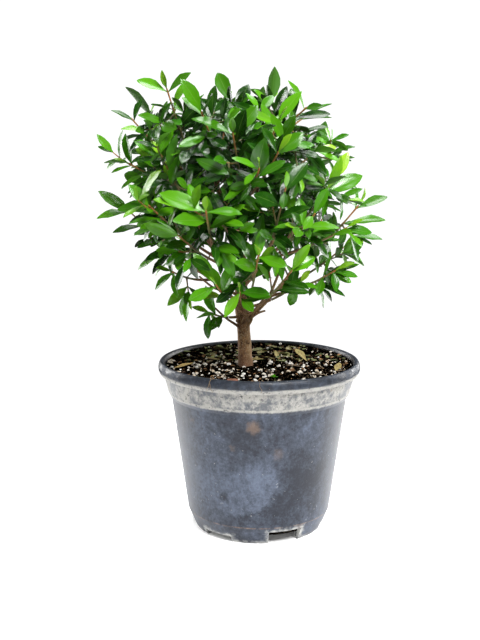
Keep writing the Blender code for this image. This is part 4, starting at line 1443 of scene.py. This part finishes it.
def new_leafy():
    """A bmesh whose corners keep an age, and whose faces keep their place on the leaf."""
    bm = bmesh.new()
    bm.loops.layers.uv.new("leaf")
    bm.verts.layers.float_color.new("tone")
    return bm


def on_leaf(shader):
    """The place on the flat leaf: whether it is the underside, how far aside, and how far along."""
    across, along_it, _ = split(wire("UVMap", {}, shader.id_data, uv_map="leaf").outputs[0])
    return maths("GREATER_THAN", across, 1.5), apart(maths("FRACT", across), 0.5), along_it


def leaf_green():
    """Dark, fresh or lime by age, with a pale midrib and side veins, and paler below."""
    material, shader, plain = new_material("glossy_leaf", Specular_IOR_Level=0.42)
    age, chance, _ = tones(shader)
    under, side, along_it = on_leaf(shader)
    patches = noise_at(plain, 160.0)
    dark, fresh, lime = (blend(chance, *pair) for pair in LEAF_GREENS)
    colour = blend(ramp(age, 0.1, 0.5), dark, fresh)
    colour = blend(ramp(age, 0.55, 0.95), colour, lime)
    colour = blend(ramp(patches, 0.4, 0.75, 0.0, 0.25), colour, PATCH_GREEN)
    rib = ramp(side, 0.008, 0.028, 0.32, 0.0)
    slant = maths("MULTIPLY_ADD", side, -0.55, along_it)
    veins = maths("ABSOLUTE", maths("SINE", times(slant, 48.0)))
    colour = blend(maths("MAXIMUM", rib, ramp(veins, 0.0, 0.22, 0.08, 0.0)), colour, VEIN_GREEN)
    colour = blend(times(under, 0.4), colour, UNDER_GREEN)
    roughness = maths("MULTIPLY_ADD", under, 0.25, maths("MULTIPLY_ADD", patches, 0.22, 0.1))
    relief = maths("SUBTRACT", times(veins, 0.35), rib)
    feed(shader, Base_Color=colour, Roughness=roughness, Normal=bump(relief, 0.35, 0.25 * MM))
    return material


def spotted(shader, mask, colours, spots, window, spot):
    """Feeds a colour that goes from one to another by a mask, with spots of a third."""
    feed(shader, Base_Color=blend(ramp(spots, *window), blend(mask, *colours), spot))


def stem_green():
    """Green where the stem is old enough, orange-red at its young tip."""
    material, shader, plain = new_material("young_stem", Specular_IOR_Level=0.4, Roughness=0.5)
    youth = ramp(tones(shader)[0], 0.5, 1.0)
    spotted(shader, youth, STEM_COLOURS, noise_at(plain, 240.0), (0.4, 0.7, 0.0, 0.5), STEM_SPOT)
    return material


GREEN = leaf_green()
STEM = stem_green()
print("finishes", GREEN.name, STEM.name)

# %% [markdown]
# Each shoot of the solids is grown again as one piece: its stem, with a small swelling at each
# pair of leaves, and its leaves. All the stems come before any leaf, so that the leaves can
# keep clear of them. Some shoots are younger and brighter than the rest in the photograph, and
# a long leaf is never lime, because it has had time to grow.

# %% Stems of the shoots
YOUTHS = {
    -0.15: ("middle_crest", "front_right_high", "front_right"),
    -0.1: ("left_crest", "right_far_crest", "left_under", "left_shoulder"),
    0.1: ("twig_crest", "right_low", "front_low", "front_left_low"),
    0.12: ("front_v",),
    0.15: ("right_front", "front_left_high"),
    0.22: ("bright_crest",),
    0.25: ("right_upper",),
}
SHOOT_YOUTH = {"shoot_" + name: youth for youth, names in YOUTHS.items() for name in names}
OLDER_ABOVE_MIDDLE = 0.13
AGE_SPREAD = 0.1
STEM_RADII = (0.95 * MM, 0.6 * MM)
STEM_SIDES, STEM_RINGS = 8, 20
STEM_YOUTH, SIDE_YOUTH = (0.2, 1.0), (0.35, 0.95)
STEM_NODES = (0.34, 0.64, 0.93)
NODE_LENGTH = 0.03
NODE_SWELLING = 0.35
SIDE_SAG = 0.8 * MM
SIDE_STEM_SIDES, SIDE_STEM_RINGS = 7, 8
SIDE_COLLAR = 0.25


def stem_radius(share, around, point):
    """A tapered radius that swells a little where a pair of leaves stands."""
    swell = sum(math.exp(-(((share - node) / NODE_LENGTH) ** 2)) for node in STEM_NODES)
    return (STEM_RADII[0] + (STEM_RADII[1] - STEM_RADII[0]) * share) * (1 + NODE_SWELLING * swell)


def stem_points(fork, end, count):
    """The stem's path: it starts a little past the end of its twig."""
    path = list(arc(fork, STEM_SAG, end, STEM_START, 1, count))
    path[0] += (path[1] - path[0]).normalized() * GAP
    return path


pieces = {}
joints = []
leaf_plans = []
side_total = 0
for index, (name, end, tips) in enumerate(shoots):
    fork = leads[name][0]
    pieces[name] = new_leafy()
    path = stem_points(fork, end, STEM_RINGS)
    add_rod(pieces[name], path, stem_radius, STEM_SIDES, STEM_YOUTH, 1)
    joints += path[2:-3]
    joints += arc(fork, STEM_SAG, end, 0.15, STEM_START, 6)
    coarse = stem_points(fork, end, 3)
    corners = corners_of(name)
    planned = list(zip(plan_leaves(tips, coarse, random.Random(SEED + index)), LEAF_AGES))
    side_draw = random.Random(SEED + SITE_COUNT + index)
    for root, side_end, leaves in sides_in_solid(coarse, side_draw, corners):
        side_path = list(arc(root, SIDE_SAG, side_end, 0, 1, SIDE_STEM_RINGS))
        radius_at = tapered(*SIDE_RADII, SIDE_COLLAR)
        add_rod(pieces[name], side_path, radius_at, SIDE_STEM_SIDES, SIDE_YOUTH, 1)
        planned += zip(leaves, SIDE_LEAF_AGES)
        joints += side_path[3:-1]
        side_total += 1
    leaf_plans.append((name, end, len(tips), corners, planned))
    stem_trees.append(BVHTree.FromBMesh(pieces[name]))
wood_bm = bmesh.new()
wood_bm.from_mesh(wood.data)
stem_trees.append(BVHTree.FromBMesh(wood_bm))
wood_bm.free()
print(len(pieces), "stems with", side_total, "side stems")

# %% Leaves of the solids
LONG_LEAF = 19 * MM
LONG_LEAF_AGE = 0.5

leaf_total = 0
draw = random.Random(SEED)
for name, end, seen, corners, planned in leaf_plans:
    youth = SHOOT_YOUTH.get(name, 0) - OLDER_ABOVE_MIDDLE * (end.z - CROWN_MIDDLE.z) / CROWN_UP
    for number, (leaf, age) in enumerate(planned):
        found = leaf_in_solid(leaf, corners)
        if not found:
            continue
        if number < seen:
            found = shown(*found)
        if found[1] > LONG_LEAF:
            age = min(age, LONG_LEAF_AGE)
        add_leaf(pieces[name], *found, age + youth + draw.gauss(0, AGE_SPREAD), draw)
        keep_room(*found)
        leaf_total += 1
print(leaf_total, "leaves stand where the solids have them")

# %% [markdown]
# The solids hold the main shoots only. Between them a clipped crown is full of short side
# sprays. The ones that can be told apart in the photograph are listed, and the rest
# grow by the golden angle where there is still room. Each begins on the nearest stem that lies
# nearer the trunk, and a leaf that finds no room is left out, as in a real crown.

# %% Side sprays
SPRAY_COUNT = 115
SPRAY_LOWEST = -0.62
SPRAY_REACHES = (0.5, 0.74)
SPRAY_CLEARANCE = 15 * MM
SPRAY_LENGTHS = (8 * MM, 60 * MM)
SPRAY_RADII = (0.7 * MM, 0.45 * MM)
SPRAY_SAG = 2.5 * MM
SPRAY_LEAVES = (15 * MM, 26 * MM)
SPRAY_SLENDERNESS = (0.3, 0.42)
SPRAY_ARCHES = (0.05, 0.22)
SPRAY_SPREADS = {"lean": 0.2, "turn": 0.35, "roll": 0.4, "reach": 0.03, "age": 0.12}
SPRAY_END_LIFT = 0.15
SPRAY_END_LEAF = 0.75
SPRAY_SIDES, SPRAY_RINGS = 6, 10
PAIR_OLDER = 0.12
END_YOUNGER = 0.3
AGE_BY_REACH = (0.9, -0.34)
OLDER_ABOVE = 0.12
SPRAY_PAIRS = (0.94, 0.94, 0.68, 0.68, 0.4, 0.4)
SEEN_SPRAYS = (
    ((-22, -70, 290), (-36, -78, 314), 0.1),
    ((-56, -20, 194), (-61, -24, 174), 0.75),
    ((-53, -60, 228), (-67, -64, 207), 0.1),
    ((-19, -50, 205), (-6, -62, 224), 0.1),
    ((-1, -60, 228), (18, -68, 225), 0.6),
    ((-75, -50, 326), (-69, -54, 344), 0.4),
    ((-87, -50, 323), (-79, -52, 339), 0.3),
    ((-76, -66, 311), (-90, -70, 316), 0.3),
    ((-91, -60, 272), (-74, -72, 295), 0.8),
    ((-49, -84, 266), (-76, -88, 278), 0.7),
    ((-34, -88, 268), (-57, -92, 282), 0.65),
    ((-116, -10, 307), (-130, -10, 309), 0.6),
    ((68, 4, 226), (87, 2, 219), 0.35),
    ((60, 6, 208), (76, 4, 202), 0.4),
    ((50, 2, 198), (61, -2, 188), 0.2),
    ((74, -14, 240), (90, -16, 237), 0.45),
    ((62, 12, 300), (77, 10, 303), 0.5),
    ((56, 0, 316), (70, -4, 321), 0.5),
    ((66, -26, 270), (84, -26, 266), 0.4),
)


def spray_paths(end):
    """Curves to the spray's end from the nearest few stems that lie nearer the crown's middle."""
    out = (end - CROWN_MIDDLE).length
    inner = [((end - joint).length, tuple(joint)) for joint in joints if (joint - CROWN_MIDDLE).length < out]
    reached = [joint for length, joint in sorted(inner) if SPRAY_LENGTHS[0] < length < SPRAY_LENGTHS[1]]
    for joint in reached[:24:4]:
        yield list(arc(Vector(joint), SPRAY_SAG, end, 0, 1, SPRAY_RINGS))


def stem_is_clear(path):
    """Whether a spray's stem, past its first quarter, crosses no leaf and no other stem."""
    bm = new_toned()
    add_rod(bm, path[3:], tapered(MM, MM), 4)
    tree = BVHTree.FromBMesh(bm)
    bm.free()
    others = itertools.chain(stem_trees, *(near(point) for point in path[3::3]))
    return not any(tree.overlap(other) for other in others)


def plan_spray(path, tip, youth, draw):
    """The spray's leaves as for a shoot, with smaller ones and the age of each."""
    for index, share in enumerate((*SPRAY_PAIRS, 1)):
        length = draw.uniform(*SPRAY_LEAVES)
        root, stem = along(path, share)
        lean = PAIR_LEAN + draw.gauss(0, SPRAY_SPREADS["lean"])
        way = pair_way(stem, index, draw.gauss(0, SPRAY_SPREADS["turn"]), lean)
        age = youth - PAIR_OLDER * (index // 2)
        if share == 1:
            way = end_way(stem, SPRAY_END_LIFT, draw)
            length, age = length * SPRAY_END_LEAF, youth + END_YOUNGER
        if tip and index == 0:
            way = tip - root
            length = way.length
            way.normalize()
        width = length * draw.uniform(*SPRAY_SLENDERNESS)
        arch, roll = draw.uniform(*SPRAY_ARCHES), draw.gauss(0, SPRAY_SPREADS["roll"])
        yield (root, stem, way, length, width, arch, roll), age


def grow_spray(bm, end, tip, youth, draw):
    """Adds one spray if a stem can reach its end. Returns the number of leaves."""
    path = next((path for path in spray_paths(end) if stem_is_clear(path)), None)
    if not path:
        return 0
    found = []
    for leaf, age in plan_spray(path, tip, youth, draw):
        place = next((tried for tried in itertools.starmap(shown, tries(leaf)) if has_room(*tried)), None)
        if place:
            found.append((place, age))
            keep_room(*place)
    if found:
        stem = new_leafy()
        add_rod(stem, path, tapered(*SPRAY_RADII, COLLAR), SPRAY_SIDES, (youth - 0.2, youth + 0.4), 1)
        stem_trees.append(BVHTree.FromBMesh(stem))
        append(bm, stem)
        joints.extend(path[3:-2:2])
    for place, age in found:
        add_leaf(bm, *place, age + draw.gauss(0, SPRAY_SPREADS["age"]), draw)
    return len(found)


sprays = {}
ends = [end for _, end, _ in shoots]
plans = [(mm(*end), mm(*tip), youth) for end, tip, youth in SEEN_SPRAYS]
draw = random.Random(SEED)
for direction in spread_directions(SPRAY_COUNT, SPRAY_LOWEST):
    for reach in SPRAY_REACHES:
        moved = reach + draw.gauss(0, SPRAY_SPREADS["reach"])
        end = CROWN_MIDDLE + direction * crown_reach(direction) * moved
        if all((end - other).length > SPRAY_CLEARANCE for other in ends):
            youth = AGE_BY_REACH[0] * reach + AGE_BY_REACH[1] - OLDER_ABOVE * direction.z
            ends.append(end)
            plans.append((end, None, youth))
for end, tip, youth in plans:
    number = limb_of(end)
    if number not in sprays:
        sprays[number] = new_leafy()
    leaf_total += grow_spray(sprays[number], end, tip, youth, draw)
print(len(plans), "sprays planned,", leaf_total, "leaves in all")

# %% Finish the leafy pieces
for name, bm in pieces.items():
    make_piece(name.replace("shoot", "leafy_shoot"), bm, [GREEN, STEM], [name])
for number, bm in sprays.items():
    say(make_piece(f"side_sprays_{number + 1}", bm, [GREEN, STEM]))

# %% [markdown]
# ## Fallen leaves and small things on the mix
# Four old leaves lie on the mix, and many smaller ones have gathered behind the trunk. A leaf
# that dries curls up at its edges and turns from olive to straw. Fine roots, a reddish flake of
# bark and a tiny seedling lie between the grains, and three thin roots hang over the lip.

# %% Fallen leaves
FALLEN_LEAVES = {
    "fallen_leaf_1": (-72, 4, 18, 7, 0.9),
    "fallen_leaf_2": (24, 12, 22, 7, 0.45),
    "fallen_leaf_3": (84, 5, 15, 7, 0.2),
    "fallen_leaf_4": (-16, 6, 16, 6, 0.5),
}
FALLEN_ARCH = -0.12
FALLEN_LOWERED = 0.2 * MM
DRY_COLOURS = ((0.12, 0.15, 0.055), (0.5, 0.34, 0.12))
DRY_SPOT = (0.12, 0.065, 0.025)
DRY_RIB = (0.55, 0.45, 0.22)


def dry_leaf():
    """Olive to straw by dryness, with brown spots and a pale rib."""
    material, shader, plain = new_material("dry_leaf", Specular_IOR_Level=0.35, Roughness=0.6)
    spots = noise_at(plain, 320.0, 4.0)
    colour = blend(tones(shader)[0], *DRY_COLOURS)
    colour = blend(ramp(spots, 0.45, 0.7, 0.0, 0.7), colour, DRY_SPOT)
    colour = blend(ramp(on_leaf(shader)[1], 0.01, 0.05, 0.6, 0.0), colour, DRY_RIB)
    feed(shader, Base_Color=colour, Normal=bump(spots, 0.5, 0.4 * MM))
    return material


def make_fallen_leaf(name, draw):
    turned, tilted, length, width, dryness = FALLEN_LEAVES[name]
    bm = new_leafy()
    turned = spin(math.radians(turned), "Z") @ spin(math.radians(tilted), "X")
    place = turned @ Matrix.Translation((0, -length * MM / 2, 0))
    add_leaf(bm, place, length * MM, width * MM, FALLEN_ARCH, dryness, draw)
    low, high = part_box(name)
    middle = (low + high) / 2
    raised = low.z - min(vert.co.z for vert in bm.verts) - FALLEN_LOWERED
    bmesh.ops.translate(bm, verts=bm.verts, vec=(middle.x, middle.y, raised))
    return bm


DRY = dry_leaf()
for name in FALLEN_LEAVES:
    fallen = make_fallen_leaf(name, random.Random(name))
    make_piece("curled_" + name, fallen, [DRY], [name])
print(len(FALLEN_LEAVES), "fallen leaves")

# %% Old leaves behind the trunk
OLD_LEAVES = 26
OLD_LENGTHS = (8 * MM, 15 * MM)
OLD_SLENDERNESS = (0.26, 0.42)
OLD_PLACES = ((-50 * MM, 64 * MM), (14 * MM, 64 * MM))
OLD_TILTS = ((0.15, 0.15), (0, 0.35))
OLD_ARCHES, OLD_DRYNESS = (-0.1, 0.2), (0, 0.5)
OLD_LIFT = 0.9 * MM


def furthest(points):
    """How far the outermost of the points lies from the pot's middle."""
    return max(math.hypot(point.x, point.y) for point in points)


def scatter_old_leaves(bm, draw):
    """Small dry leaves, turned every way and tilted a little, behind the trunk and beside it."""
    for _ in range(OLD_LEAVES):
        x, y = (draw.uniform(*ends) for ends in OLD_PLACES)
        length = draw.uniform(*OLD_LENGTHS)
        turned = spin(draw.uniform(0, math.tau), "Z")
        tilted = spin(draw.gauss(*OLD_TILTS[0]), "X") @ spin(draw.gauss(*OLD_TILTS[1]), "Y")
        arch, dryness = draw.uniform(*OLD_ARCHES), draw.uniform(*OLD_DRYNESS)
        middle = Matrix.Translation((0, -length / 2, 0))
        place = on_mix(x, y, OLD_LIFT) @ turned @ tilted @ middle
        if furthest(place @ Vector((0, end, 0)) for end in (0, length)) < GRAIN_EDGE - MM:
            add_leaf(bm, place, length, length * draw.uniform(*OLD_SLENDERNESS), arch, dryness, draw)


old_leaves = new_leafy()
scatter_old_leaves(old_leaves, random.Random(SEED))
say(make_piece("old_leaves", old_leaves, [DRY]))

# %% Roots, a flake of bark and a seedling
ROOT_COUNT = 34
ROOT_RADII = (0.16 * MM, 0.3 * MM)
ROOT_LENGTHS = (7 * MM, 20 * MM)
ROOT_TIP = 0.12 * MM
ROOT_POINTS = 12
ROOT_RISE = 0.9 * MM
ROOT_SUNK = 0.3 * MM
ROOT_SIDES = 5
ROOT_AREA = (0.03, 0.95)
ROOT_WANDER = 0.3
LIP_ROOTS = ((-119.5, 3.0, 160, -85), (-116.0, -4.0, 120, -60), (-91.5, 2.0, 150, -40))
LIP_ROOT_RADII = (0.3 * MM, 0.14 * MM)
LIP_ROOT_POINTS = 14
LIP_ROOT_WANDER = 0.25
LIP_ROOT_LIFT = 0.1 * MM
FIBRE_COLOURS = ((0.07, 0.035, 0.018), (0.5, 0.4, 0.27))
FIBRE_SPOT = (0.09, 0.05, 0.03)
FLAKE_PLACE = (-21.5 * MM, -61 * MM)
FLAKE_SIZE = 4.2 * MM
FLAKE_COLOURS = ((0.07, 0.022, 0.012), (0.33, 0.13, 0.07))
SEEDLING_PLACE = (10.6 * MM, -62.6 * MM)
SEEDLING_TOP = (0.4 * MM, -0.3 * MM, 4.5 * MM)
SEEDLING_RADII = (0.35 * MM, 0.3 * MM)
SEEDLING_LEAF = (4.2 * MM, 2.3 * MM, 0.1, 0.6)
SEEDLING_TURNS = (20, 200, 110)


def root_path(draw):
    """A thin root's points: it wanders over the mix with both ends in it."""
    around, out = draw.uniform(0, math.tau), GRAIN_EDGE * math.sqrt(draw.uniform(*ROOT_AREA))
    x, y = out * math.cos(around), out * math.sin(around)
    heading = draw.uniform(0, math.tau)
    last = ROOT_POINTS - 1
    step = draw.uniform(*ROOT_LENGTHS) / last
    for index in range(ROOT_POINTS):
        rise = ROOT_RISE * math.sin(math.pi * index / last) - ROOT_SUNK
        yield on_mix(x, y, rise).translation
        heading += draw.gauss(0, ROOT_WANDER)
        x += step * math.cos(heading)
        y += step * math.sin(heading)


def lip_root_path(around, aside, first, last, draw):
    """A thin root that hangs over the lip, from inside the pot to its outside."""
    for index in range(LIP_ROOT_POINTS):
        share = index / (LIP_ROOT_POINTS - 1)
        turned = math.radians(around + aside * share + draw.gauss(0, LIP_ROOT_WANDER))
        out, height = on_lip(first + (last - first) * share, LIP_ROOT_LIFT)
        yield Vector((out * math.cos(turned), out * math.sin(turned), height))


draw = random.Random(SEED)
roots = new_toned()
for _ in range(ROOT_COUNT):
    path = list(root_path(draw))
    if furthest(path) < GRAIN_EDGE:
        shade = draw.random()
        add_rod(roots, path, tapered(draw.uniform(*ROOT_RADII), ROOT_TIP), ROOT_SIDES, (shade, shade))
for way in LIP_ROOTS:
    add_rod(roots, list(lip_root_path(*way, draw)), tapered(*LIP_ROOT_RADII), ROOT_SIDES, (0.2, 0.4))
fibre, shader, plain = new_material("root_fibre", Roughness=0.85, Specular_IOR_Level=0.3)
spots = noise_at(plain, 500.0)
spotted(shader, tones(shader)[0], FIBRE_COLOURS, spots, (0.45, 0.7, 0.0, 0.5), FIBRE_SPOT)
make_piece("fine_roots", roots, [fibre])

flake = lump(FLAKE_SIZE, 3, 0.5, draw)
flake.transform(on_mix(*FLAKE_PLACE, MM) @ spin(0.25, "X") @ Matrix.Diagonal((1, 0.6, 0.28, 1)))
red_bark, shader, plain = new_material("red_bark_flake", Roughness=0.8)
lines = noise_at(stretched(plain, (0.2, 1, 1)), 700.0, 4.0)
feed(shader, Base_Color=blend(lines, *FLAKE_COLOURS), Normal=bump(lines, 0.7, 0.4 * MM))
make_piece("bark_flake", flake, [red_bark], sharp=math.radians(30))

seedling = new_leafy()
ground = on_mix(*SEEDLING_PLACE).translation
top = ground + Vector(SEEDLING_TOP)
add_rod(seedling, list(arc(ground, 0, top, 0, 1, 6)), tapered(*SEEDLING_RADII), 6, (0.2, 0.3), 1)
for turned in SEEDLING_TURNS:
    place = Matrix.Translation(top) @ spin(math.radians(turned), "Z") @ spin(math.radians(30), "X")
    add_leaf(seedling, place, *SEEDLING_LEAF, draw)
make_piece("seedling", seedling, [GREEN, STEM])
print("roots, flake and seedling placed")

# %% [markdown]
# ## The floor
# A white sweep carries the pot. It glows a little, so that it stays white, but the glow is
# lowered under the pot: a painted soft shadow there shows that it stands.

# %% Floor
FLOOR_RADIUS = 0.42
FLOOR_GLOW = 0.85
PAINTED_SHADOW_REACH = (0.046, 0.064)
PAPER = (0.98, 0.98, 0.98, 1)

floor_bm = bmesh.new()
bmesh.ops.create_circle(floor_bm, cap_ends=True, segments=64, radius=FLOOR_RADIUS)
paper = {"Base_Color": PAPER, "Roughness": 1.0, "Emission_Strength": FLOOR_GLOW}
white, shader, plain = new_material("white_sweep", **paper)
away = vector_maths("LENGTH", plain)["Value"]
# Painted shadow: the glow falls almost to nothing under the pot.
feed(shader, Emission_Color=ramp(away, *PAINTED_SHADOW_REACH, 0.05, 1.0))
floor = to_object("floor", floor_bm, white)
print("floor", FLOOR_RADIUS, "m across half")

# %% Finish
print("finished")
